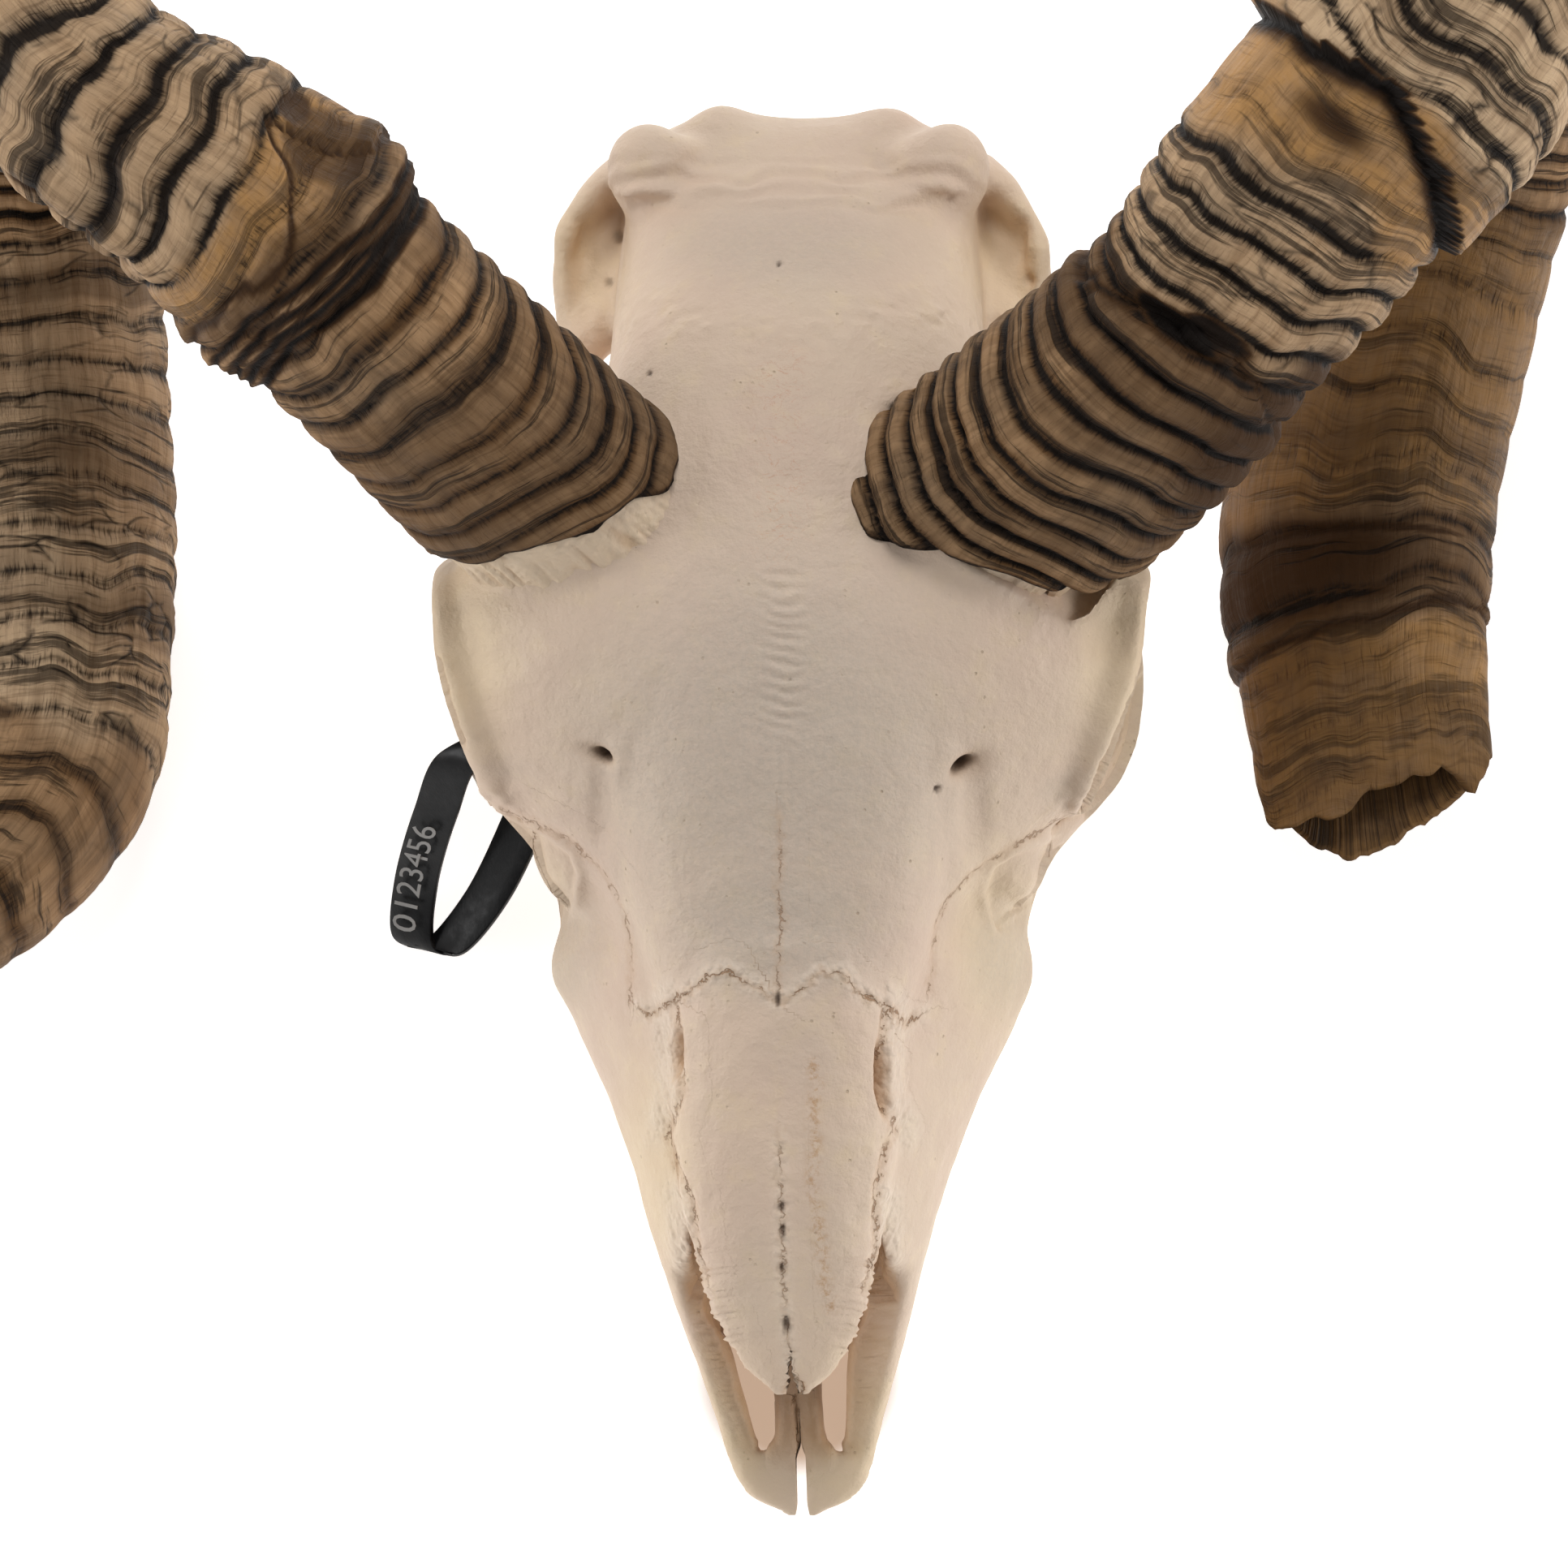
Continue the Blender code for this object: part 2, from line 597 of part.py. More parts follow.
def closed_parts(piece):
    """Split a piece into its separate closed surfaces, the largest first."""
    bm = bmesh.new()
    bm.from_mesh(piece.data)
    drop_folded_faces(bm)
    unseen = set(bm.verts)
    shells = []
    while unseen:
        stack = [unseen.pop()]
        group = set(stack)
        while stack:
            for edge in stack.pop().link_edges:
                for vert in edge.verts:
                    if vert in unseen:
                        unseen.discard(vert)
                        group.add(vert)
                        stack.append(vert)
        shells.append(group)
    shells.sort(key=len, reverse=True)
    parts = []
    for group in shells:
        copy = bmesh.new()
        place = {vert: copy.verts.new(vert.co) for vert in group}
        faces = {face for vert in group for face in vert.link_faces}
        for face in sorted(faces, key=lambda one: one.index):
            copy.faces.new([place[vert] for vert in face.verts])
        parts.append(copy)
    bm.free()
    return parts


def largest_part(piece):
    """Keep only the largest closed surface of a piece."""
    parts = closed_parts(piece)
    parts[0].to_mesh(piece.data)
    for part in parts:
        part.free()
    return piece


def parted(piece, seeds):
    """Name each loose part of a sawn piece by the seed point nearest to it."""
    parts = closed_parts(piece)
    named = {}
    for name, seed in seeds.items():
        target = Vector(seed) * MM
        reach = [min((vert.co - target).length for vert in part.verts) for part in parts]
        named[name] = finished(name, parts.pop(reach.index(min(reach))))
    for part in parts:
        part.free()
    discard([piece])
    return named


def orbit_housing(side):
    """Make the block of bone that carries the orbit, from its rim in to the skull's wall."""
    rim = [(Vector((side * p[0], p[1], p[2])), half) for p, half, tall in ORBIT_RIM]
    middle = sum((point for point, half in rim), Vector()) / len(rim)
    reach = Vector((side * HOUSING_REACH[0], HOUSING_REACH[1], HOUSING_REACH[2]))
    rings = []
    for part in HOUSING_STEPS:
        size = 1.0 - HOUSING_TAPER * part
        shift = reach * part
        rings.append([middle + (point - middle) * size + shift for point, half in rim])
    return skin_over("orbit_housing", rings)


def horn_path(route, side):
    """Read the horn's route as points, half sizes and turned section axes."""
    rows = [(side * point[0], point[1], point[2], wide, thick) for point, wide, thick in route]
    fine = smooth_rows(rows, np.linspace(0, len(rows) - 1, ROUTE_SAMPLES))
    step = np.linalg.norm(np.diff(fine[:, :3], axis=0), axis=1)
    run = np.concatenate(([0.0], np.cumsum(step)))
    count = int(round(run[-1] / HORN_STEP)) + 1
    stops = np.linspace(0.0, run[-1], count)
    path = np.column_stack([np.interp(stops, run, fine[:, column]) for column in range(5)])
    wide = Vector((side * HORN_BASE_WIDE.x, HORN_BASE_WIDE.y, HORN_BASE_WIDE.z))
    frames = []
    for index in range(count):
        ahead = Vector(path[min(index + 1, count - 1), :3])
        behind = Vector(path[max(index - 1, 0), :3])
        along = (ahead - behind).normalized()
        wide = (wide - along * wide.dot(along)).normalized()
        half, thick = path[index, 3], path[index, 4]
        frames.append((Vector(path[index, :3]), along, wide.copy(), half, thick, stops[index]))
    return frames


def ring_swell(run, length):
    """Give the height of the growth rings at one place along the horn."""
    fade = min(1.0, (length - run) / RING_FADE)
    return RING_HEIGHT * math.cos(2 * math.pi * run / RING_PITCH) * fade


def horn(name, route, side, extra=0.0, start=0.0):
    """Make one horn, ringed along its length."""
    frames = horn_path(route, side)
    length = frames[-1][5]
    rings = []
    for index, (middle, along, wide, half, thick, run) in enumerate(frames):
        across = along.cross(wide)
        swell = ring_swell(run, length) + extra
        if index == 0:
            middle = middle + along * start
        ring = []
        for step in range(HORN_SIDES):
            turn = 2 * math.pi * step / HORN_SIDES
            x = power(math.cos(turn), HORN_SQUARENESS) * (half + swell)
            y = power(math.sin(turn), HORN_SQUARENESS) * (thick + swell)
            ring.append(middle + wide * x + across * y)
        rings.append(ring)
    return skin_over(name, rings)


def horn_core(route, side):
    """Make the bony root that the horn's base meets."""
    middle, along, wide, half, thick, _ = horn_path(route, side)[0]
    across = along.cross(wide)
    rings = []
    for shift, size in CORE_SECTIONS:
        ring = []
        for step in range(CORE_SIDES):
            turn = 2 * math.pi * step / CORE_SIDES
            edge = wide * (half * size * math.cos(turn)) + across * (thick * size * math.sin(turn))
            ring.append(middle + along * shift + edge)
        rings.append(ring)
    return skin_over("horn_core", rings)


def whole_skull():
    """Model the skull in one piece, hollows included, before it is parted."""
    solids = [
        loft("braincase_form", BRAINCASE),
        loft("face_form", FACE),
        loft("brow_form", BROW),
        loft("nasal_form", NASAL_ROOF),
        loft("base_form", SKULL_BASE, sides=BASE_SIDES),
        loft("nasal_floor", NASAL_FLOOR, rings=NASAL_FLOOR_RINGS, sides=NOSE_SIDES),
    ]
    for side, route in ((LEFT, LEFT_HORN), (RIGHT, RIGHT_HORN)):
        solids.append(sweep("tooth_ridge", TOOTH_RIDGE, side))
        solids.append(sweep("premaxilla_tip", PREMAXILLA_TIP, side, rings=TIP_RINGS))
        solids.append(sweep("premaxilla_rim", PREMAXILLA_RIM, side))
        solids.append(sweep("palatine_process", PALATINE_PROCESS, side))
        solids.append(sweep("lower_orbit_bar", LOWER_ORBIT_BAR, side))
        solids.append(sweep("ear_flange", EAR_FLANGE, side))
        solids.append(sweep("paroccipital", PAROCCIPITAL, side))
        solids.append(sweep("pterygoid", PTERYGOID_PLATE, side))
        solids.append(orbit_housing(side))
        for shape in (NUCHAL_LUMP, CONDYLE, BULLA, FACIAL_TUBER, MASTOID, LACRIMAL):
            solids.append(ellipsoid("lump", shape, side))
        solids.append(horn_core(route, side))
    skull = soft_union(gathered("skull", solids), VOXEL, SKIN_ROUNDS)

    hollows = [
        loft("nose_hollow", NASAL_CAVITY, sides=NOSE_SIDES),
        ellipsoid("choana", CHOANA),
        ellipsoid("palate_hollow", PALATE_HOLLOW),
        ellipsoid("foramen", FORAMEN_MAGNUM),
    ]
    for side in (LEFT, RIGHT):
        hollows.append(ellipsoid("orbit", ORBIT_HOLLOW, side))
        hollows.append(ellipsoid("orbit_deep", ORBIT_DEEP, side))
        hollows.append(ellipsoid("orbit_floor", ORBIT_FLOOR, side))
        hollows.append(ellipsoid("fossa", TEMPORAL_FOSSA, side))
        hollows.append(ellipsoid("ear", EAR_HOLLOW, side))
        hollows.append(ellipsoid("fissure", PALATINE_FISSURE, side))
    for hollow in hollows:
        carved(skull, hollow, solver="MANIFOLD")
    rims = []
    for side in (LEFT, RIGHT):
        rims.append(sweep("orbit_rim", ORBIT_RIM, side, closed=True, rings=ORBIT_RIM_RINGS))
        rims.append(sweep("premaxilla_rim", PREMAXILLA_RIM, side))
        rims.append(sweep("palatine_process", PALATINE_PROCESS, side))
        rims.append(sweep("lower_orbit_bar", LOWER_ORBIT_BAR, side))
    skull = soft_union(gathered("skull", [skull, *rims]), VOXEL, FINAL_ROUNDS)
    skull = largest_part(thinned(skull, SKULL_TRIANGLES))
    carved(skull, box("floor_cut", *FLOOR_SLAB))
    for side, route in ((LEFT, LEFT_HORN), (RIGHT, RIGHT_HORN)):
        carved(skull, horn("horn_seat", route, side, extra=SEAT_GAP))
    return skull


def cut(piece, *blades):
    """Saw a piece by thin blades."""
    for blade in blades:
        carved(piece, blade)
    return piece


def mirrored(line, side):
    """Turn a plan line of the left side into the line of either side."""
    return [(side * x, y) for x, y in line]


def seed_of(name, side=LEFT):
    """Give the seed point of a bone on either side."""
    x, y, z = SEEDS[name]
    return (side * x, y, z)


def side_seeds(name):
    """Give a paired bone's names with its two seed points."""
    return {
        f"{name}_left": seed_of(name),
        f"{name}_right": seed_of(name, RIGHT),
    }


def sawn_bones(skull):
    """Part the whole skull into its bones."""
    half = SEAM / 2
    low, high = LEVEL_SLAB
    cut(
        skull,
        box("level", (*low, ORBIT_LEVEL - half), (*high, ORBIT_LEVEL + half)),
        saw("crown", CROWN_SUTURE, ORBIT_LEVEL, BLADE_HIGH),
        saw("face_rear", FACE_REAR, -FACE_REAR_REACH, FACE_REAR_REACH, across="X"),
    )
    for side in (LEFT, RIGHT):
        cut(
            skull,
            saw("brow", mirrored(BROW_SUTURE, side), ORBIT_LEVEL - half, BLADE_HIGH),
            saw("cheek", mirrored(CHEEK_SUTURE, side), BLADE_LOW, ORBIT_LEVEL),
            saw("arch", mirrored(ARCH_SUTURE, side), ARCH_LOW, ORBIT_LEVEL),
        )
    pieces = parted(skull, {
        "braincase": seed_of("braincase_shell"),
        "frontals": seed_of("frontals"),
        "face": seed_of("face"),
        **side_seeds("zygomatic"),
    })
    frontals = cut(pieces["frontals"], saw("forehead", FOREHEAD_SUTURE, FOREHEAD_LOW, BLADE_HIGH))
    bones = parted(frontals, side_seeds("frontal"))
    braincase = cut(pieces["braincase"], saw("occiput", OCCIPUT_SUTURE, BLADE_LOW, BLADE_HIGH))
    bones.update(parted(braincase, {name: seed_of(name) for name in ("braincase_shell", "occipital")}))
    face = cut(pieces["face"], saw("snout", SNOUT_SUTURE, BLADE_LOW, BLADE_HIGH))
    halves = parted(face, side_seeds("half"))
    for side, name in ((LEFT, "left"), (RIGHT, "right")):
        piece = cut(
            halves[f"half_{name}"],
            saw("nasal_side", mirrored(NASAL_SUTURE, side), NASAL_LOW, BLADE_HIGH),
            saw("nasal_under", NASAL_UNDERSIDE, *sorted(side * reach for reach in NASAL_REACH), across="X"),
        )
        parts = parted(piece, {f"nasal_{name}": seed_of("nasal", side), "jaw": seed_of("jaw", side)})
        blade = saw("premaxilla", PREMAXILLA_SUTURE, -PREMAXILLA_REACH, PREMAXILLA_REACH, across="X")
        jaw = cut(parts.pop("jaw"), blade)
        bones.update(parts)
        bones.update(parted(jaw, {
            f"maxilla_{name}": seed_of("jaw", side),
            f"premaxilla_{name}": seed_of("premaxilla", side),
        }))
    bones["zygomatic_left"] = pieces["zygomatic_left"]
    bones["zygomatic_right"] = pieces["zygomatic_right"]
    return bones


def tooth(spot, along, length, breadth, lobes):
    """Make one cheek tooth, its root sunk in the jaw and its crown worn flat at the floor."""
    across = Vector((along.y, -along.x))
    rings = []
    for z, size in TOOTH_SECTIONS:
        ring = []
        for step in range(TOOTH_SIDES):
            turn = 2 * math.pi * (step + 0.5) / TOOTH_SIDES
            forward = power(math.cos(turn), TOOTH_SQUARENESS)
            outward = power(math.sin(turn), TOOTH_SQUARENESS)
            if lobes == 2:
                outward *= 1.0 - LOBE_NOTCH * math.exp(-((forward / LOBE_NOTCH_WIDTH) ** 2))
            point = spot + along * (forward * length * size / 2) + across * (outward * breadth * size / 2)
            ring.append((point.x, point.y, z))
        rings.append(ring)
    return skin_over("tooth", rings)


def tooth_row(side):
    """Make the row of cheek teeth of one side."""
    front = Vector((side * TOOTH_LINE_FRONT[0], TOOTH_LINE_FRONT[1]))
    rear = Vector((side * TOOTH_LINE_REAR[0], TOOTH_LINE_REAR[1]))
    along = (rear - front).normalized()
    teeth = []
    run = 0.0
    for length, breadth, lobes in CHEEK_TEETH:
        teeth.append(tooth(front + along * (run + length / 2), along, length, breadth, lobes))
        run += length + TOOTH_GAP
    return gathered("tooth_row", teeth)


def strap(name, extra=0.0):
    """Make the closed strap, or its seat when given some extra thickness."""
    rows = [(-x, y, z) for x, y, z in STRAP_ROUTE]
    rows = rows[-2:] + rows + rows[:3]
    path = smooth_rows(rows, np.linspace(2, len(rows) - 3, STRAP_STATIONS + 1)[:-1])
    axis = STRAP_AXIS.normalized()
    outline = []
    for index, point in enumerate(path):
        along = Vector(path[(index + 1) % STRAP_STATIONS]) - Vector(path[index - 1])
        along = (along - axis * along.dot(axis)).normalized()
        outward = axis.cross(along)
        wide = axis * (STRAP_WIDTH / 2 + extra)
        deep = outward * (STRAP_THICKNESS / 2 + extra)
        middle = Vector(point)
        upper, lower = middle + wide, middle - wide
        outline.append([upper + deep, upper - deep, lower - deep, lower + deep])
    bm = bmesh.new()
    loops = [[bm.verts.new(point * MM) for point in ring] for ring in outline]
    for index, near in enumerate(loops):
        far = loops[(index + 1) % len(loops)]
        for step in range(4):
            after = (step + 1) % 4
            bm.faces.new((near[step], near[after], far[after], far[step]))
    bmesh.ops.recalc_face_normals(bm, faces=bm.faces)
    return finished(name, bm)


def tidied(piece):
    """Clear the slivers that the cuts leave and turn every face into triangles."""
    bm = bmesh.new()
    bm.from_mesh(piece.data)
    bmesh.ops.dissolve_degenerate(bm, dist=SLIVER * MM, edges=bm.edges)
    bmesh.ops.triangulate(bm, faces=bm.faces)
    drop_folded_faces(bm)
    bm.to_mesh(piece.data)
    bm.free()
    return piece


def dressed(piece, material):
    """Give a piece its own material and its shading."""
    piece.data.materials.clear()
    piece.data.materials.append(material)
    piece.data.shade_smooth()
    piece.data.set_sharp_from_angle(angle=math.radians(SHARP_ANGLE))


def set_on_floor(pieces):
    """Move all pieces so that the origin is the middle of the box, on the floor."""
    corners = [vert.co for piece in pieces for vert in piece.data.vertices]
    low = Vector([min(corner[axis] for corner in corners) for axis in range(3)])
    high = Vector([max(corner[axis] for corner in corners) for axis in range(3)])
    shift = Vector((-(low.x + high.x) / 2, -(low.y + high.y) / 2, -low.z))
    for piece in pieces:
        for vert in piece.data.vertices:
            vert.co += shift


def main():
    """Build the whole part."""
    for old in list(bpy.data.objects):
        bpy.data.objects.remove(old)
    bones = sawn_bones(whole_skull())
    for side, name in ((LEFT, "left"), (RIGHT, "right")):
        largest_part(carved(bones[f"maxilla_{name}"], tooth_row(side), "UNION"))
    for name in ("zygomatic_right", "braincase_shell", "maxilla_right"):
        carved(bones[name], strap("strap_seat", STRAP_SEAT))
    broken = horn("horn_left", LEFT_HORN, LEFT, start=SEAM)
    carved(broken, saw("worn_end", WORN_END_LINE, 0.0, WORN_END_TOP, kerf=WORN_END_DEPTH))
    horns = [broken, horn("horn_right", RIGHT_HORN, RIGHT, start=SEAM)]
    tag = strap("tag_strap")
    for name, bone in bones.items():
        dressed(tidied(largest_part(bone)), surface(name, BONE, BONE_ROUGHNESS))
    for sheath in horns:
        dressed(sheath, surface(sheath.name, HORN, HORN_ROUGHNESS))
    dressed(tag, surface("tag_strap", STRAP_BLACK, STRAP_ROUGHNESS))
    set_on_floor([*bones.values(), *horns, tag])


main()
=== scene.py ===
"""Dress the ram skull: fine bones, ringed horns, cheek teeth and a looped strap, in a pale studio."""

import json
import logging
import math
from dataclasses import dataclass
from enum import Enum

import bmesh
import bpy
import numpy as np
from bmesh.types import BMEdge, BMesh, BMVert
from bpy.types import Material, Mesh, Node, NodeSocket, NodeTree, Object
from mathutils import Matrix, Vector
from mathutils.bvhtree import BVHTree

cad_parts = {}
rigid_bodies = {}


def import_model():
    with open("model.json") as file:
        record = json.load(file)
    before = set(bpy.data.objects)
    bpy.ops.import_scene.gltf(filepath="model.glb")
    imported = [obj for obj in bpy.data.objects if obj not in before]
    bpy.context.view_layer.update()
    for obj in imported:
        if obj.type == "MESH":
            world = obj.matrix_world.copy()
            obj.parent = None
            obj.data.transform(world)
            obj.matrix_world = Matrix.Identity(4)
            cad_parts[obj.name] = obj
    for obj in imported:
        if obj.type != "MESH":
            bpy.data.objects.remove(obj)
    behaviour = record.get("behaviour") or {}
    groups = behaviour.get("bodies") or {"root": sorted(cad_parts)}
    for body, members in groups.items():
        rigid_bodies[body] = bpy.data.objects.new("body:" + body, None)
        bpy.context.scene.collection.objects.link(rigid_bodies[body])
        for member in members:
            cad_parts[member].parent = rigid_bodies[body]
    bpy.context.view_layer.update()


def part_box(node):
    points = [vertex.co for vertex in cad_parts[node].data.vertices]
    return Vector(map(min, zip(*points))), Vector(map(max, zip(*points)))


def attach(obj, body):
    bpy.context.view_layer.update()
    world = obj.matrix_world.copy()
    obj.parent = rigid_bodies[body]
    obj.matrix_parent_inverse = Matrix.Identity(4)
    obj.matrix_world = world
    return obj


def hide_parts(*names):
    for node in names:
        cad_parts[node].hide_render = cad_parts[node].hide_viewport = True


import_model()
MM = 0.001
BODY = "root"
LOG = logging.getLogger("ram_skull")

# How far the cracks' coordinates are bent, in metres, and how near points of one seam lie, in millimetres
CRACK_SWAY = 0.002
SEAM_GAP = 0.02
# The cylinder that a horn's patterns are unrolled on: its radius and the length of one growth ring, in millimetres
ROLL_RADIUS = 25.0
ROLL_RING = 8.0

# The skull's own frame, in millimetres: the midline is x = 0, the snout's tip is at SNOUT_Y
SNOUT_Y = -160.9
ORIGIN = np.array(
    (
        (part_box("maxilla_left")[0][0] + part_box("maxilla_right")[1][0]) / 2 / MM,
        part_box("premaxilla_left")[0][1] / MM - SNOUT_Y,
        0.0,
    )
)


class Side(Enum):
    """The animal's sides; the left one is towards +X."""

    LEFT = 1
    RIGHT = -1


class Zone(Enum):
    """How a stretch of horn is weathered."""

    RINGED = "ringed"
    BLEACHED = "bleached"
    SHEATH = "sheath"
    WORN = "worn"


def smooth_rows(rows: list, places: np.ndarray) -> np.ndarray:
    """Read rows of numbers on a smooth curve through them.

    Args:
        rows: The rows that the curve passes through.
        places: Fractional row numbers to read.

    Returns:
        One row of numbers for each place.
    """
    table = np.asarray(rows, dtype=float)
    last = len(table) - 1
    slope = np.gradient(table, axis=0)
    low = np.clip(np.floor(places).astype(int), 0, last - 1)
    part = (np.asarray(places, dtype=float) - low)[:, None]
    return (
        table[low] * (2 * part**3 - 3 * part**2 + 1)
        + slope[low] * (part**3 - 2 * part**2 + part)
        + table[low + 1] * (3 * part**2 - 2 * part**3)
        + slope[low + 1] * (part**3 - part**2)
    )


def ease(value: np.ndarray, low: float, high: float) -> np.ndarray:
    """Rise smoothly from 0 at low to 1 at high."""
    part = np.clip((value - low) / (high - low), 0.0, 1.0)
    return part * part * (3 - 2 * part)


def within(value: np.ndarray, low: float, full: float, fading: float, high: float) -> np.ndarray:
    """Rise smoothly from 0 at low to 1 at full, and fall again from fading to 0 at high."""
    return ease(value, low, full) * (1 - ease(value, fading, high))


def bump(value: np.ndarray, width: float) -> np.ndarray:
    """Give a soft bump of height 1 round zero."""
    return np.exp(-((value / width) ** 2))


def power(value: np.ndarray, exponent: float) -> np.ndarray:
    """Raise a signed value to a power, keeping its sign."""
    return np.sign(value) * np.abs(value) ** exponent


def drift(points: np.ndarray, size: float, seed: int) -> np.ndarray:
    """Give repeatable smooth unevenness from -1 to 1.

    Args:
        points: Places, in millimetres, along the last axis.
        size: Width of one swell, in millimetres.
        seed: Number that picks one pattern.

    Returns:
        One number for each place.
    """
    place = points / size + seed * 13.37
    low = np.floor(place).astype(np.int64)
    part = place - low
    part = part * part * (3 - 2 * part)
    total = np.zeros(place.shape[:-1])
    for corner in range(8):
        step = np.array([(corner >> axis) & 1 for axis in range(3)])
        key = (low + step) @ np.array((73856093, 19349663, 83492791), dtype=np.int64)
        key = ((key ^ (key >> 13)) * 1274126177) & 0xFFFFFFFF
        value = ((key ^ (key >> 15)) & 0xFFFF) / 32767.5 - 1.0
        total += value * np.prod(np.where(step == 1, part, 1 - part), axis=-1)
    return total


def read_pairs(pairs: tuple, places: np.ndarray) -> np.ndarray:
    """Read numbers between given pairs of a place and its number."""
    starts, numbers = np.array(pairs, dtype=float).T
    return np.interp(places, starts, numbers)


def from_line(spots: np.ndarray, line: tuple) -> tuple[np.ndarray, np.ndarray]:
    """Measure how far spots lie from a broken line.

    Args:
        spots: Pairs of numbers.
        line: The line's corners, in the same units.

    Returns:
        The signed distance of each spot, and its share of the way along the line.
    """
    corners = np.asarray(line, dtype=float)
    lengths = np.linalg.norm(np.diff(corners, axis=0), axis=1)
    best = np.full(len(spots), 1e9)
    way = np.zeros(len(spots))
    run = 0.0
    for start, end, length in zip(corners[:-1], corners[1:], lengths):
        step = (end - start) / length
        along = np.clip((spots - start) @ step, 0.0, length)
        gap = spots - start - along[:, None] * step
        size = np.linalg.norm(gap, axis=1)
        signed = np.where(step[0] * gap[:, 1] - step[1] * gap[:, 0] < 0, -size, size)
        closer = size < np.abs(best)
        best = np.where(closer, signed, best)
        way = np.where(closer, (run + along) / lengths.sum(), way)
        run += length
    return best, way


def points_of(mesh: Mesh) -> np.ndarray:
    """Read a mesh's points in the skull's own frame, in millimetres."""
    flat = np.empty(len(mesh.vertices) * 3, dtype=np.float32)
    mesh.vertices.foreach_get("co", flat)
    return flat.reshape(-1, 3).astype(float) / MM - ORIGIN


def place_points(mesh: Mesh, points: np.ndarray) -> None:
    """Write a mesh's points, given in the skull's own frame, in millimetres."""
    mesh.vertices.foreach_set("co", ((points + ORIGIN) * MM).astype(np.float32).ravel())
    mesh.update()


def normals_of(mesh: Mesh) -> np.ndarray:
    """Read a mesh's point normals."""
    flat = np.empty(len(mesh.vertices) * 3, dtype=np.float32)
    mesh.vertex_normals.foreach_get("vector", flat)
    return flat.reshape(-1, 3).astype(float)


def edge_pairs(mesh: Mesh) -> np.ndarray:
    """Read the two points of each of a mesh's edges."""
    flat = np.empty(len(mesh.edges) * 2, dtype=np.int64)
    mesh.edges.foreach_get("vertices", flat)
    return flat.reshape(-1, 2)


def neighbour_sum(pairs: np.ndarray, values: np.ndarray) -> np.ndarray:
    """Add up, for each point, the values of the points that its edges lead to."""
    total = np.bincount(pairs[:, 0], values[pairs[:, 1]], len(values))
    return total + np.bincount(pairs[:, 1], values[pairs[:, 0]], len(values))


def tag(mesh: Mesh, name: str, values: np.ndarray) -> None:
    """Store one number for each point of a mesh, for its finish to read."""
    mark = mesh.attributes.new(name, "FLOAT", "POINT")
    mark.data.foreach_set("value", np.asarray(values, dtype=np.float32).ravel())


def tag_bmesh(bm: BMesh, marks: dict) -> dict:
    """Store numbers for each point of a bmesh, for its finish to read, and give their layers by name."""
    layers = {key: bm.verts.layers.float.new(key) for key in marks}
    for key, values in marks.items():
        for vert, value in zip(bm.verts, values.tolist()):
            vert[layers[key]] = value
    return layers


def wrapped_grid(columns: int, rows: int) -> tuple[BMesh, np.ndarray, np.ndarray]:
    """Make a grid to bend round something.

    Args:
        columns: Faces round.
        rows: Faces along.

    Returns:
        The grid, and each point's turn in radians and share of the way along.
    """
    bm = bmesh.new()
    bmesh.ops.create_grid(bm, x_segments=columns, y_segments=rows, size=1.0)
    places = np.array([vert.co[:2] for vert in bm.verts])
    return bm, (places[:, 0] + 1) * math.pi, (places[:, 1] + 1) / 2


def as_piece(name: str, bm: BMesh, scale: float = 1.0) -> Object:
    """Turn a bmesh into a smooth-shaded object at the origin.

    Args:
        name: The piece's name.
        bm: The shape, which is freed.
        scale: What its coordinates are multiplied by.

    Returns:
        The new object.
    """
    bmesh.ops.scale(bm, vec=(scale, scale, scale), verts=bm.verts)
    mesh = bpy.data.meshes.new(name)
    bm.to_mesh(mesh)
    bm.free()
    mesh.shade_smooth()
    piece = bpy.data.objects.new(name, mesh)
    bpy.context.scene.collection.objects.link(piece)
    return piece


def settle(piece: Object, material: Material, slot: str, *nodes: str) -> Object:
    """Dress a piece, tie it to the body, hide the nodes it stands for, and hand it back."""
    piece.data.materials.append(material)
    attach(piece, BODY)
    if nodes:
        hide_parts(*nodes)
    LOG.info("%s: %d faces", piece.name, len(piece.data.polygons))
    return piece


def settle_skull_part(
    name: str, bm: BMesh, material: Material, slot: str, *nodes: str
) -> Object:
    """Make a finished piece of a bmesh that is given in the skull's own frame, in millimetres."""
    bmesh.ops.translate(bm, vec=Vector(ORIGIN), verts=bm.verts)
    return settle(as_piece(name, bm, MM), material, slot, *nodes)


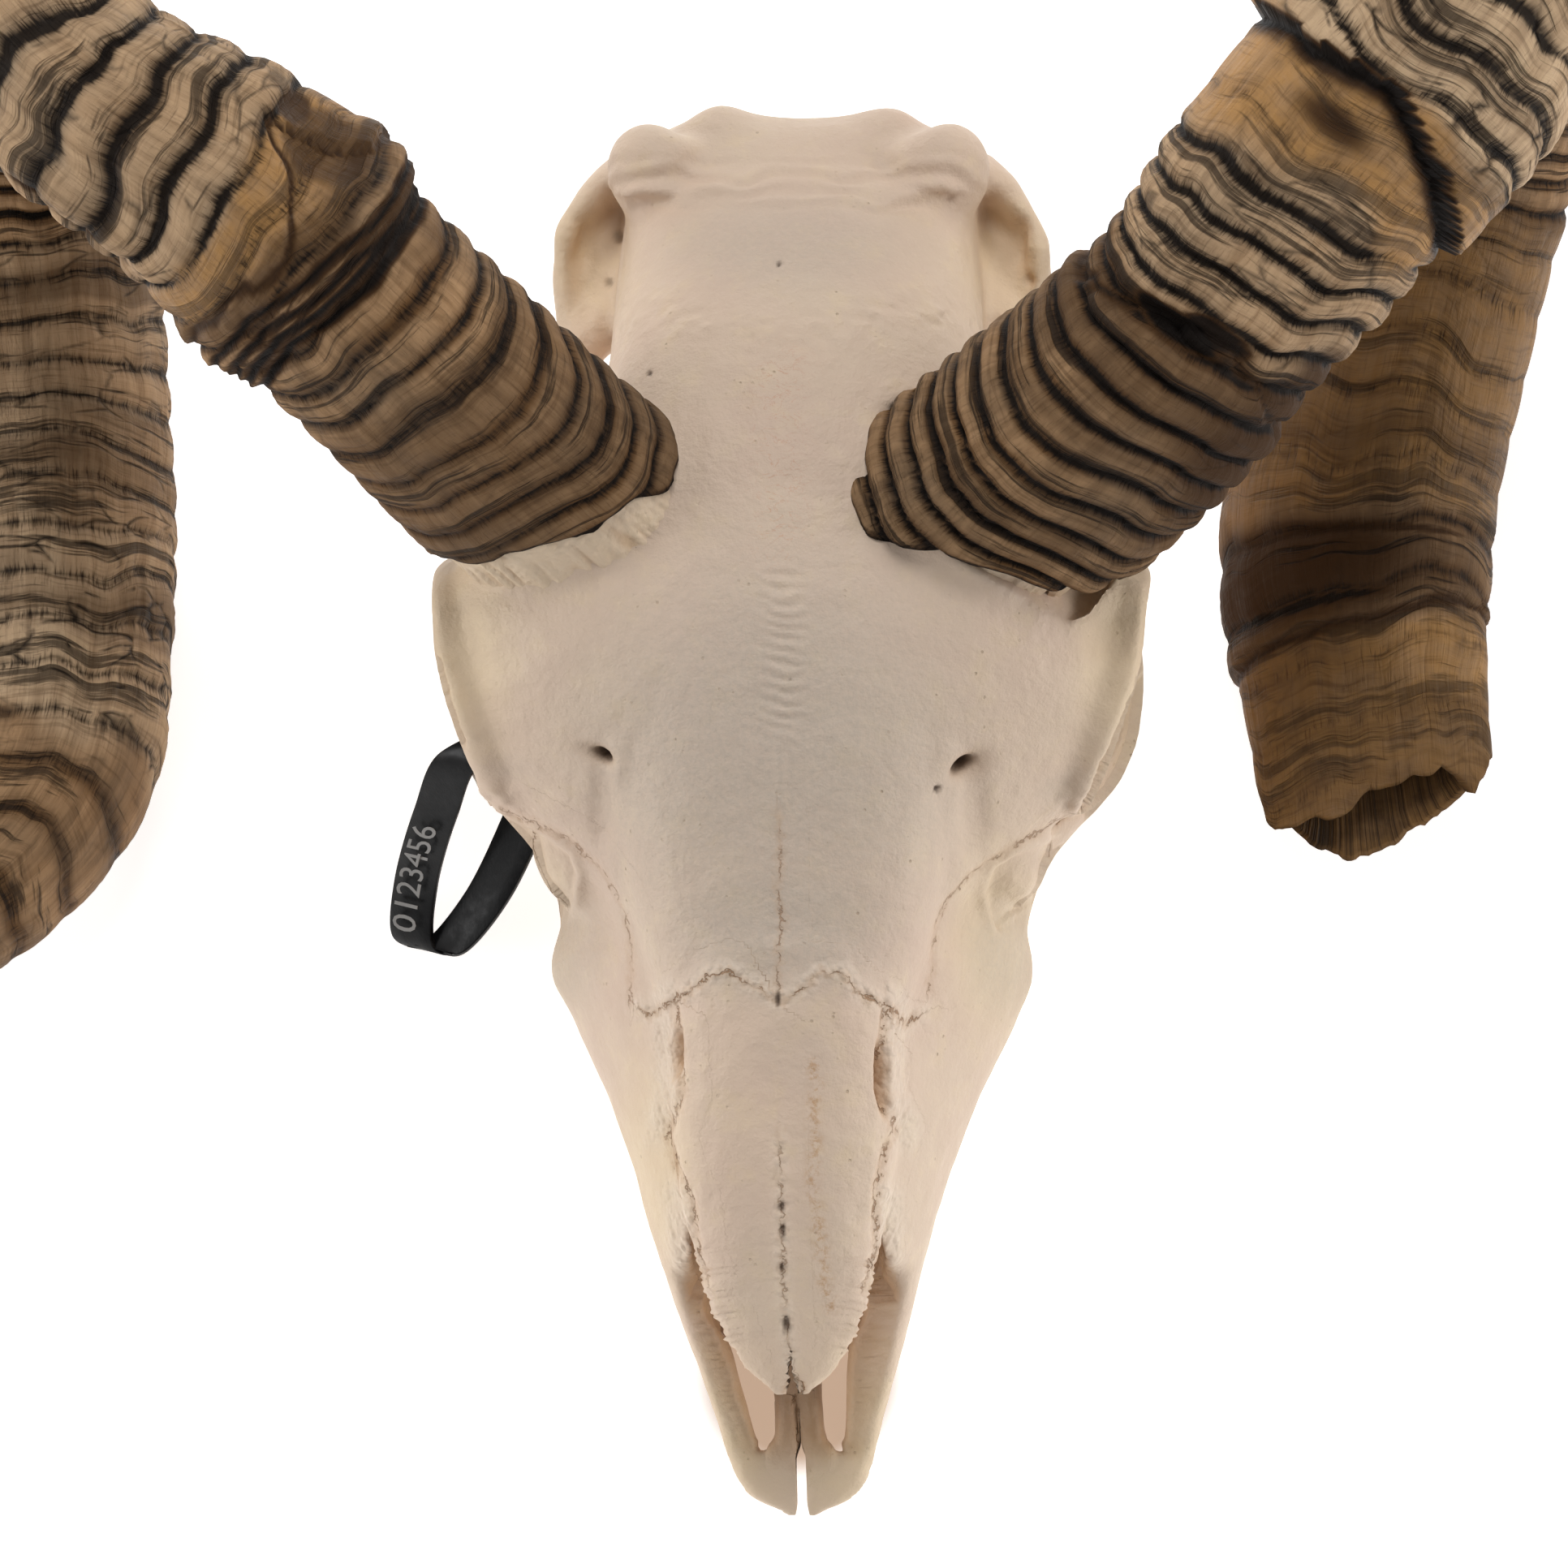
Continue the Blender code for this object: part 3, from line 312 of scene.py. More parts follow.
@dataclass(frozen=True)
class PhotoView:
    """The viewpoint, above the brow and a little towards the snout."""

    target: tuple = (0.6, -28.0, 105.0)
    distance: float = 1300.0
    elevation: float = 75.0
    lean: float = 0.05
    roll: float = 1.0
    field: float = 313.6
    width: int = 1932

    def axes(self) -> np.ndarray:
        """Give the view's right, up and back directions as columns."""
        rise = math.radians(self.elevation)
        back = Vector((self.lean, -math.cos(rise), math.sin(rise))).normalized()
        right = Vector((0, 1, 0)).cross(back).normalized()
        up = back.cross(right).normalized()
        turned = Matrix((right, up, back)).transposed() @ Matrix.Rotation(math.radians(self.roll), 3, "Z")
        return np.array(turned)

    def eye(self) -> np.ndarray:
        """Give the viewpoint in the skull's own frame."""
        return np.array(self.target) + self.axes()[:, 2] * self.distance

    def pixels(self, points: np.ndarray) -> np.ndarray:
        """Find where points fall on the picture.

        Args:
            points: Places in the skull's own frame, in millimetres.

        Returns:
            The picture's x and y of each point, y growing downwards.
        """
        seen = (points - self.eye()) @ self.axes()
        half = self.width / 2
        spread = half * self.distance / (self.field / 2) / -seen[:, 2]
        return np.column_stack((half + seen[:, 0] * spread, half - seen[:, 1] * spread))

    def place(self) -> Object:
        """Make the camera and set it as the scene's own."""
        lens = bpy.data.cameras.new("picture_view")
        lens.angle = 2 * math.atan(self.field / 2 / self.distance)
        lens.clip_end = 20.0
        camera = bpy.data.objects.new("picture_view", lens)
        bpy.context.scene.collection.objects.link(camera)
        camera.location = (self.eye() + ORIGIN) * MM
        camera.rotation_euler = Matrix(self.axes().tolist()).to_euler()
        bpy.context.scene.camera = camera
        return camera


Number = NodeSocket | float


class Sheet:
    """A short hand for laying out a material's nodes."""

    def __init__(self, tree: NodeTree) -> None:
        """Start on an empty tree."""
        self.tree = tree
        tree.nodes.clear()

    def feed(self, node: Node, inputs: dict) -> None:
        """Set a node's inputs, by name or number, to values or link them to sockets."""
        for key, value in inputs.items():
            if isinstance(value, NodeSocket):
                self.tree.links.new(value, node.inputs[key])
            else:
                node.inputs[key].default_value = value

    def add(self, kind: str, inputs: dict | None = None, **settings) -> Node:
        """Add a node.

        Args:
            kind: The node's type name, without its prefix.
            inputs: Values or sockets for its inputs, by name or number.
            settings: The node's own settings.

        Returns:
            The new node.
        """
        node = self.tree.nodes.new("ShaderNode" + kind)
        for key, value in settings.items():
            setattr(node, key, value)
        self.feed(node, inputs or {})
        return node

    def mark(self, name: str) -> NodeSocket:
        """Read a number stored on the surface."""
        return self.add("Attribute", attribute_name=name).outputs["Fac"]

    def math(self, kind: str, first: Number, second: Number = 0.0) -> NodeSocket:
        """Work out a number from one or two others."""
        return self.add("Math", {0: first, 1: second}, operation=kind).outputs[0]

    def times(self, first: Number, second: Number) -> NodeSocket:
        """Multiply two numbers."""
        return self.math("MULTIPLY", first, second)

    def plus(self, first: Number, second: Number) -> NodeSocket:
        """Add two numbers."""
        return self.math("ADD", first, second)

    def minus(self, first: Number, second: Number) -> NodeSocket:
        """Take the second number from the first."""
        return self.math("SUBTRACT", first, second)

    def range(self, value: NodeSocket, low: float, high: float, start: float = 0.0, end: float = 1.0) -> NodeSocket:
        """Map a number smoothly from one range to another."""
        node = self.add(
            "MapRange",
            {"Value": value, "From Min": low, "From Max": high, "To Min": start, "To Max": end},
            interpolation_type="SMOOTHSTEP",
        )
        return node.outputs[0]

    def noise(
        self, vector: NodeSocket, scale: Number, detail: float = 3.0, rough: float = 0.55, twist: float = 0.0
    ) -> NodeSocket:
        """Give an uneven number from 0 to 1 at one scale, per metre."""
        inputs = {"Vector": vector, "Scale": scale, "Detail": detail, "Roughness": rough, "Distortion": twist}
        return self.add("TexNoise", inputs).outputs[0]

    def stretch(self, vector: NodeSocket, scale: tuple, shift: tuple = (0.0, 0.0, 0.0)) -> NodeSocket:
        """Scale a pattern's coordinates."""
        return self.add("Mapping", {"Vector": vector, "Scale": scale, "Location": shift}).outputs[0]

    def mix(self, factor: Number, first: NodeSocket | tuple, second: NodeSocket | tuple) -> NodeSocket:
        """Mix two colours."""
        first, second = ((*value, 1.0) if isinstance(value, tuple) else value for value in (first, second))
        return self.add("Mix", {0: factor, 6: first, 7: second}, data_type="RGBA").outputs[2]

    def coats(self, tone: tuple, *layers: tuple) -> NodeSocket:
        """Lay colours over a first one, each as thick as its mask."""
        for mask, colour in layers:
            tone = self.mix(mask, tone, colour)
        return tone

    def relief(self, height: NodeSocket, distance: float, strength: float) -> NodeSocket:
        """Turn a height into a bumped normal."""
        return self.add("Bump", {"Height": height, "Distance": distance, "Strength": strength}).outputs[0]

    def group(self, name: str, inputs: dict) -> NodeSocket:
        """Place a shared effect, with its own values, and give its mask."""
        return self.add("Group", inputs, node_tree=bpy.data.node_groups[name]).outputs[0]


def shared_effect(name: str, inputs: dict) -> tuple[Sheet, list, Node]:
    """Start a node group that puts out one mask.

    Args:
        name: The group's name.
        inputs: Each input's type by name.

    Returns:
        The group's sheet, its input sockets and its output node.
    """
    tree = bpy.data.node_groups.new(name, "ShaderNodeTree")
    for key, kind in inputs.items():
        tree.interface.new_socket(key, in_out="INPUT", socket_type="NodeSocket" + kind)
    tree.interface.new_socket("Mask", in_out="OUTPUT", socket_type="NodeSocketFloat")
    sheet = Sheet(tree)
    given = tree.nodes.new("NodeGroupInput").outputs
    return sheet, [given[key] for key in inputs], tree.nodes.new("NodeGroupOutput")


def build_shared_effects() -> None:
    """Make the effects that several finishes use: mottling and hairline cracks."""
    sheet, (vector, scale, contrast), made = shared_effect(
        "mottling", {"Vector": "Vector", "Scale": "Float", "Contrast": "Float"}
    )
    spread = sheet.times(sheet.minus(sheet.noise(vector, scale, 5.0, 0.6), 0.5), contrast)
    sheet.feed(made, {0: sheet.add("Clamp", {0: sheet.plus(spread, 0.5)}).outputs[0]})

    sheet, (vector, scale, width), made = shared_effect(
        "cracks", {"Vector": "Vector", "Scale": "Float", "Width": "Float"}
    )
    bent = sheet.add("TexNoise", {"Vector": vector, "Scale": scale, "Detail": 3.0})
    sway = sheet.add("VectorMath", {0: bent.outputs[1], 3: CRACK_SWAY}, operation="SCALE")
    way = sheet.add("VectorMath", {0: vector, 1: sway.outputs[0]}, operation="ADD")
    cell = sheet.add("TexVoronoi", {"Vector": way.outputs[0], "Scale": scale}, feature="DISTANCE_TO_EDGE")
    share = sheet.math("MINIMUM", sheet.math("DIVIDE", cell.outputs[0], width), 1.0)
    sheet.feed(made, {0: sheet.minus(1.0, share)})


def new_material(name: str, roughness: float, specular: float) -> tuple[Material, Sheet, Node]:
    """Start a material.

    Args:
        name: The material's name.
        roughness: Its plain roughness.
        specular: Its specular level.

    Returns:
        The material, its sheet and its shader.
    """
    material = bpy.data.materials.new(name)
    material.use_nodes = True
    sheet = Sheet(material.node_tree)
    shader = sheet.add("BsdfPrincipled", {"Roughness": roughness, "Specular IOR Level": specular})
    sheet.add("OutputMaterial", {0: shader.outputs[0]})
    return material, sheet, shader


@dataclass(frozen=True)
class BoneFinish:
    """Dry, cleaned bone: cream with pinkish and yellow areas and brown sutures, with painted shade near-black in its
    pits and orange in its hollows, and grey patches that are partly painted shade.
    """

    cream: tuple = (0.675, 0.53, 0.402)
    pink: tuple = (0.66, 0.495, 0.385)
    yellow: tuple = (0.73, 0.57, 0.37)
    grey_and_shade: tuple = (0.40, 0.345, 0.29)
    white: tuple = (0.76, 0.655, 0.535)
    orange: tuple = (0.46, 0.255, 0.115)
    brown: tuple = (0.24, 0.125, 0.06)
    dark: tuple = (0.06, 0.03, 0.018)
    enamel: tuple = (0.72, 0.62, 0.47)
    vein: tuple = (0.58, 0.30, 0.19)
    roughness: float = 0.52

    def make(self) -> Material:
        """Lay out the material."""
        material, sheet, shader = new_material("dry_bone", self.roughness, 0.35)
        where = sheet.add("TexCoord").outputs["Object"]
        broad = sheet.group("mottling", {"Vector": where, "Scale": 26.0, "Contrast": 2.6})
        patchy = sheet.group("mottling", {"Vector": where, "Scale": 140.0, "Contrast": 2.0})
        fine = sheet.noise(where, 900.0, 4.0, 0.65)
        grain = sheet.mark("grain")
        pores = sheet.add("TexVoronoi", {"Vector": where, "Scale": 420.0}).outputs[0]
        pore = sheet.times(sheet.range(pores, 0.10, 0.17, 1.0, 0.0), sheet.range(patchy, 0.55, 0.9))
        wobble = sheet.minus(sheet.noise(where, 520.0, 3.0, 0.6), 0.5)
        seam = sheet.math("ABSOLUTE", sheet.plus(sheet.mark("seam"), sheet.times(wobble, 4.2)))
        broken = sheet.range(sheet.noise(where, 260.0, 2.0), 0.36, 0.56)
        line = sheet.times(sheet.times(sheet.range(seam, 0.08, 0.30, 1.0, 0.0), broken), sheet.mark("seam_dark"))
        stain = sheet.times(sheet.mark("stain"), sheet.range(sheet.noise(where, 650.0, 4.0, 0.7), 0.42, 0.66))
        branches = sheet.noise(sheet.stretch(where, (1.0, 1.7, 1.0)), 210.0, 3.0, 0.6, 1.2)
        branches = sheet.range(sheet.math("ABSOLUTE", sheet.minus(branches, 0.5)), 0.004, 0.02, 1.0, 0.0)
        tone = sheet.coats(
            self.cream,
            (broad, self.pink),
            (sheet.range(patchy, 0.45, 1.0, 0.0, 0.4), self.yellow),
            (sheet.times(sheet.mark("warm"), sheet.range(patchy, 0.0, 1.0, 0.75, 1.0)), self.yellow),
            # Grey patches: partly the bone's grey mottling, partly painted shade darkening the brow.
            (sheet.times(sheet.mark("grey_and_shade"), sheet.range(fine, 0.3, 0.7, 0.7, 1.0)), self.grey_and_shade),
            (sheet.times(grain, 0.6), self.white),
            (sheet.range(fine, 0.68, 0.78, 0.0, 0.25), self.brown),
            (sheet.times(pore, 0.35), self.brown),
            # Orange inside the nose and in hollows, gaps and grooves: partly the bone's own tint, partly painted
            # shade.
            (sheet.times(sheet.mark("inner_tint_and_shade"), sheet.range(patchy, 0.0, 1.0, 0.7, 1.0)), self.orange),
            (line, self.brown),
            (sheet.times(sheet.range(seam, 0.0, 1.6, 0.35, 0.0), sheet.mark("seam_dark")), self.orange),
            (sheet.times(stain, 0.55), self.orange),
            (sheet.times(sheet.times(branches, sheet.mark("vein")), 0.5), self.vein),
            (sheet.mark("enamel"), self.enamel),
            # Near-black in the pits and holes: painted shade.
            (sheet.mark("pit_shade"), self.dark),
        )
        rough = sheet.range(sheet.plus(patchy, sheet.mark("enamel")), 0.0, 1.4, 0.62, 0.36)
        coarse = sheet.plus(sheet.noise(where, 330.0, 3.0, 0.6), sheet.times(sheet.noise(where, 95.0, 2.0), 2.0))
        bits = sheet.add("TexVoronoi", {"Vector": where, "Scale": 620.0, "Smoothness": 0.4}, feature="SMOOTH_F1")
        nodules = sheet.times(sheet.minus(0.6, bits.outputs[0]), sheet.times(grain, 3.2))
        height = sheet.plus(sheet.plus(sheet.times(fine, 0.5), coarse), nodules)
        for mask, depth in ((line, 1.1), (pore, 0.5)):
            height = sheet.minus(height, sheet.times(mask, depth))
        sheet.feed(shader, {"Base Color": tone, "Roughness": rough, "Normal": sheet.relief(height, 0.00042, 0.9)})
        return material


@dataclass(frozen=True)
class HornFinish:
    """Weathered horn: tan ridges, near-black furrows painted as shade, lengthwise fibres, hairline cracks, and painted
    shadow below the layers' edges, in the hollows and into the open ends.
    """

    tan: tuple = (0.178, 0.090, 0.035)
    light: tuple = (0.50, 0.31, 0.165)
    ash: tuple = (0.112, 0.075, 0.046)
    umber: tuple = (0.054, 0.025, 0.009)
    black: tuple = (0.008, 0.005, 0.0035)
    honey: tuple = (0.42, 0.225, 0.078)
    pale: tuple = (0.54, 0.385, 0.24)
    roughness: float = 0.6

    def make(self) -> Material:
        """Lay out the material; its patterns read the horn unrolled to a straight cylinder, in metres."""
        material, sheet, shader = new_material("ringed_horn", self.roughness, 0.12)
        run = sheet.add("Attribute", attribute_name="rolled").outputs["Vector"]
        where = sheet.add("TexCoord").outputs["Object"]
        crest, pale, clean, gap = (sheet.mark(name) for name in ("crest", "pale", "clean", "gap"))
        patches = sheet.group("mottling", {"Vector": where, "Scale": 42.0, "Contrast": 3.4})
        spots = sheet.group("mottling", {"Vector": where, "Scale": 170.0, "Contrast": 2.8})
        hatch = sheet.noise(sheet.stretch(run, (1.0, 1.0, 0.16)), 1900.0, 2.0, 0.6)
        strand = sheet.noise(sheet.stretch(run, (1.0, 1.0, 0.12)), 430.0, 3.0, 0.6, 0.3)
        lines = sheet.noise(sheet.stretch(run, (0.05, 0.05, 1.0)), 820.0, 3.0, 0.6, 0.2)
        growth = sheet.noise(sheet.stretch(run, (0.045, 0.045, 1.0)), 400.0, 4.0, 0.68, 0.25)
        banding = sheet.noise(sheet.stretch(run, (0.10, 0.10, 1.0)), 85.0, 2.0, 0.5, 0.4)
        # The crests, leaned a little to one side of each ring, are lighter; the furrows between them get painted
        # shade, near-black.
        worn = sheet.plus(crest, sheet.times(sheet.mark("lean"), -0.16))
        lit = sheet.times(sheet.range(worn, 0.60, 1.0), sheet.range(strand, 0.3, 0.7, 0.45, 0.95))
        strokes = sheet.times(sheet.range(hatch, 0.54, 0.64), sheet.range(worn, 0.45, 0.95, 1.0, 0.25))
        bands = sheet.times(sheet.range(growth, 0.53, 0.63), sheet.range(clean, 0.0, 1.0, 0.9, 0.6))
        furrow_shade = sheet.plus(worn, sheet.times(sheet.minus(strand, 0.5), 0.35))
        furrow_shade = sheet.plus(furrow_shade, sheet.times(sheet.minus(hatch, 0.5), -0.3))
        wide = sheet.stretch(run, (0.30, 0.30, 1.0))
        split = sheet.group("cracks", {"Vector": wide, "Scale": 190.0, "Width": 0.06})
        split = sheet.times(split, sheet.range(sheet.noise(where, 110.0), 0.44, 0.60))
        split = sheet.times(split, sheet.range(pale, 0.0, 1.0, 0.2, 1.0))
        tone = sheet.coats(
            self.tan,
            (patches, self.ash),
            (sheet.range(spots, 0.45, 1.0, 0.0, 0.5), self.umber),
            (sheet.times(lit, sheet.range(patches, 0.0, 1.0, 0.9, 0.55)), self.light),
            (sheet.times(clean, sheet.range(spots, 0.1, 0.9, 0.85, 0.35)), self.honey),
            (sheet.times(pale, sheet.range(strand, 0.25, 0.7, 0.4, 0.9)), self.pale),
            (sheet.range(sheet.mark("deep"), 0.0, 1.25), self.umber),
            (sheet.range(banding, 0.50, 0.66, 0.0, 0.6), self.umber),
            (sheet.range(lines, 0.50, 0.70, 0.0, 0.42), self.umber),
            (sheet.times(strokes, 0.62), self.umber),
            (sheet.times(bands, 0.85), self.black),
            # Painted shade: near-black in the furrows.
            (sheet.range(furrow_shade, 0.28, 0.72, 0.97, 0.0), self.black),
            (sheet.times(split, 0.9), self.black),
            # The gap mark is painted shadow, umber and then black: below the layers' edges, in the hollows and into
            # the open ends.
            (sheet.range(gap, 0.0, 0.5), self.umber),
            (sheet.range(gap, 0.35, 0.9), self.black),
        )
        rough = sheet.range(sheet.plus(spots, clean), 0.0, 1.5, 0.78, 0.5)
        height = sheet.times(strand, 0.8)
        for mask, depth in ((strokes, 0.35), (lines, 0.8), (bands, 0.8), (split, 1.0)):
            height = sheet.minus(height, sheet.times(mask, depth))
        sheet.feed(shader, {"Base Color": tone, "Roughness": rough, "Normal": sheet.relief(height, 0.0006, 0.9)})
        return material


@dataclass(frozen=True)
class StrapFinish:
    """Black moulded strap, satin, with fine scuffs."""

    black: tuple = (0.004, 0.004, 0.0045)
    scuffed: tuple = (0.014, 0.014, 0.015)
    roughness: float = 0.38

    def make(self) -> Material:
        """Lay out the material."""
        material, sheet, shader = new_material("black_strap", self.roughness, 0.18)
        where = sheet.add("TexCoord").outputs["Object"]
        rub = sheet.group("mottling", {"Vector": where, "Scale": 300.0, "Contrast": 2.5})
        hair = sheet.noise(sheet.stretch(where, (1.0, 0.2, 1.0)), 2200.0, 2.0)
        tone = sheet.mix(sheet.times(sheet.range(rub, 0.6, 1.0), 0.6), self.black, self.scuffed)
        rough = sheet.range(rub, 0.0, 1.0, 0.32, 0.5)
        sheet.feed(shader, {"Base Color": tone, "Roughness": rough, "Normal": sheet.relief(hair, 0.00006, 0.6)})
        return material


@dataclass(frozen=True)
class PlainFinish:
    """A plain finish with a faint grain, for the engraved digits."""

    name: str
    tone: tuple
    roughness: float = 0.8

    def make(self) -> Material:
        """Lay out the material."""
        material, sheet, shader = new_material(self.name, self.roughness, 0.2)
        where = sheet.add("TexCoord").outputs["Object"]
        shade = tuple(channel * 0.97 for channel in self.tone)
        tone = sheet.mix(sheet.noise(where, 300.0, 2.0), self.tone, shade)
        sheet.feed(shader, {"Base Color": tone})
        return material


# Places on the picture, in its pixels
FOREHEAD_LINE = ((958, 1000), (962, 1040), (961, 1075), (958, 1105), (964, 1130), (960, 1160), (958, 1234))
MIDLINE = ((962, 420), (960, 560), (962, 700), (966, 800), (962, 900), (958, 1012))
BROW_LINE = (
    (785, 1240), (800, 1252), (832, 1232), (848, 1222), (872, 1204), (900, 1195), (920, 1211), (940, 1222),
    (958, 1236), (992, 1216), (1012, 1196), (1036, 1199), (1056, 1223), (1092, 1240), (1112, 1262), (1135, 1250),
)
NASAL_LINE = ((956, 1232), (957, 1280), (960, 1380), (962, 1480), (962, 1530), (962, 1605), (966, 1672))
SNOUT_LINE = ((969, 1700), (971, 1740), (975, 1790), (976, 1800))
NASAL_EDGE_A = (
    (832, 1236), (837, 1290), (840, 1345), (822, 1400), (835, 1440), (852, 1480), (857, 1540), (875, 1605),
    (905, 1655), (925, 1690),
)
NASAL_EDGE_B = (
    (1090, 1242), (1087, 1295), (1082, 1345), (1103, 1390), (1090, 1420), (1080, 1460), (1077, 1540), (1055, 1610),
    (1030, 1660), (1012, 1700),
)
CHEEK_LINE_A = (
    (605, 985), (650, 1010), (700, 1036), (735, 1068), (757, 1100), (770, 1135), (776, 1165), (776, 1240),
)
CHEEK_LINE_B = (
    (1335, 990), (1290, 1018), (1235, 1052), (1195, 1080), (1168, 1110), (1156, 1140), (1150, 1180), (1144, 1222),
)
ORBIT_FOOT_A = ((604, 990), (640, 1010), (672, 1030), (700, 1054), (709, 1082), (706, 1112), (697, 1142))
ORBIT_FOOT_B = ((1322, 1012), (1292, 1034), (1262, 1048), (1226, 1070), (1216, 1104), (1226, 1146), (1252, 1162))
ORBIT_EDGE_A = ((538, 800), (546, 826), (556, 860), (566, 892), (580, 925))
ORBIT_EDGE_B = ((1406, 818), (1396, 850), (1384, 880), (1371, 907), (1352, 945), (1338, 975), (1316, 1012))
STAIN_LINE = (
    (1003, 1312), (1006, 1340), (1001, 1370), (1005, 1405), (1000, 1450), (1005, 1490), (1009, 1530), (1012, 1580),
    (1020, 1612),
)
NUCHAL_LINE = ((790, 243), (840, 250), (900, 240), (960, 250), (1020, 243), (1080, 252), (1160, 240))
CORONAL_LINE = ((700, 405), (780, 385), (870, 400), (960, 412), (1060, 398), (1130, 385), (1210, 400))
PIXELS_PER_MM = 6.16


@dataclass(frozen=True)
class Dent:
    """A round or stretched hollow or lump placed on the picture."""

    spot: tuple
    size: tuple
    depth: float
    turn: float = 0.0
    dark: float = 0.0
    mark: str = "pit_shade"

    def share(self, spots: np.ndarray) -> np.ndarray:
        """Give how much each picture place belongs to this form, from 0 to 1."""
        offset = spots - np.array(self.spot)
        angle = math.radians(self.turn)
        across = offset[:, 0] * math.cos(angle) + offset[:, 1] * math.sin(angle)
        down = offset[:, 1] * math.cos(angle) - offset[:, 0] * math.sin(angle)
        return np.exp(-((across / self.size[0]) ** 2 + (down / self.size[1]) ** 2) ** 1.5)


@dataclass(frozen=True)
class Lump:
    """A soft swelling, or a hollow where its height is below zero, at a place of the skull."""

    middle: tuple
    radius: float
    height: float

    def lift(self, points: np.ndarray) -> np.ndarray:
        """Give how far each point is raised, in millimetres."""
        away = np.linalg.norm(points - np.array(self.middle), axis=1)
        return self.height * np.exp(-((away / self.radius) ** 2))


# Dents with a dark value paint their hollow: near-black in the pits and holes, orange in the gaps and hollows, as
# painted shade.
DENTS = (
    Dent((735, 929), (24, 11), -1.3, 24, 0.12, "inner_tint_and_shade"),
    Dent((739, 932), (11, 6), -4.2, 28, 0.85),
    Dent((1194, 945), (28, 17), -1.5, -30, 0.15, "inner_tint_and_shade"),
    Dent((1190, 945), (14, 8), -4.8, -30, 0.8),
    Dent((742, 990), (15, 60), -1.1, 0),
    Dent((1200, 1000), (19, 60), -1.2, 0),
    Dent((762, 935), (14, 26), 0.5, 0),
    Dent((1165, 935), (14, 26), 0.5, 0),
    Dent((1155, 972), (4, 3.5), -1.2, 0, 0.8),
    Dent((958, 1232), (3.5, 8), -1.3, 0, 0.7),
    Dent((960, 325), (3, 3), -0.6, 0, 0.8),
    Dent((800, 460), (3, 3), -0.6, 0, 0.8),
    Dent((833, 1300), (5, 26), -3.4, 4, 0.9, "inner_tint_and_shade"),
    Dent((1088, 1330), (7, 38), -3.8, -4, 0.9, "inner_tint_and_shade"),
    Dent((962, 1487), (3.5, 6), -1.0, 0, 0.6),
    Dent((963, 1517), (3.5, 7), -1.2, 0, 0.6),
    Dent((960, 1562), (3.5, 5), -0.9, 0, 0.5),
    Dent((963, 1632), (4, 10), -1.3, 0, 0.6),
    Dent((1370, 780), (42, 34), -0.9, 0, 0.08, "inner_tint_and_shade"),
    Dent((560, 790), (40, 44), -0.5),
    Dent((740, 330), (34, 62), -0.8, 14, 0.0),
    Dent((1236, 320), (26, 52), -0.8, -14, 0.0),
    Dent((760, 290), (5, 7), -1.2, 0, 0.35),
    Dent((748, 348), (4, 5), -0.9, 0, 0.35),
    Dent((850, 205), (26, 16), -0.8, -40),
    Dent((1090, 205), (30, 14), -0.8, 35),
    Dent((1268, 345), (6, 8), -1.5, 0, 0.3, "inner_tint_and_shade"),
    Dent((620, 985), (34, 16), 0.9, 24),
    Dent((1322, 985), (36, 16), 0.9, -24),
)
LUMPS = (
    Lump((-33.0, 116.0, 82.0), 8.0, 3.2),
    Lump((33.0, 115.5, 82.5), 8.0, 3.2),
    Lump((-25.5, 121.0, 79.5), 4.5, -1.4),
    Lump((25.5, 121.0, 79.5), 4.5, -1.2),
    Lump((-17.5, 127.0, 75.0), 6.5, 3.0),
    Lump((19.5, 127.0, 75.0), 6.5, 2.6),
    Lump((0.0, 124.0, 77.0), 10.0, -1.0),
    Lump((-49.5, 103.0, 66.0), 5.0, 1.6),
    Lump((49.5, 100.0, 65.0), 5.0, 1.6),
    Lump((-66.0, 6.0, 84.0), 14.0, -0.9),
    Lump((66.0, 6.0, 84.0), 14.0, -0.9),
    Lump((-47.5, -50.0, 41.0), 7.0, 1.8),
)
# Grey tone: partly grey mottling of the bone, partly painted shade that darkens the brow.
GREY_AND_SHADE_PATCHES = (
    Dent((950, 920), (240, 260), 0, 0, 0.75), Dent((960, 1130), (150, 100), 0, 0, 0.75),
    Dent((960, 300), (150, 60), 0, 0, 0.4),
    Dent((700, 1170), (50, 70), 0, 0, 0.4), Dent((1240, 1180), (50, 70), 0, 0, 0.4),
    Dent((640, 950), (42, 22), 0, 10, 0.25), Dent((1310, 968), (38, 18), 0, -20, 0.25),
    Dent((1120, 1030), (60, 70), 0, 0, 0.3), Dent((985, 1290), (60, 70), 0, 0, 0.25),
    Dent((1010, 1500), (36, 130), 0, 0, 0.15), Dent((925, 1560), (28, 110), 0, 0, 0.15),
)
WARM_PATCHES = (
    Dent((715, 320), (60, 90), 0), Dent((1245, 320), (60, 90), 0), Dent((560, 800), (70, 130), 0),
    Dent((1385, 800), (60, 130), 0), Dent((800, 1450), (50, 150), 0), Dent((640, 1160), (60, 120), 0),
    Dent((1230, 1160), (60, 120), 0), Dent((870, 1780), (90, 120), 0), Dent((1060, 1780), (90, 120), 0),
)


# Lines that come in pairs, with the sign that makes their distances grow inwards
NASAL_EDGES = ((NASAL_EDGE_A, 1), (NASAL_EDGE_B, -1))
CHEEK_LINES = ((CHEEK_LINE_A, 1), (CHEEK_LINE_B, -1))
ORBIT_FEET = ((ORBIT_FOOT_A, 1), (ORBIT_FOOT_B, -1))
ORBIT_EDGES = ((ORBIT_EDGE_A, 1, 1.6), (ORBIT_EDGE_B, -1, 2.4))
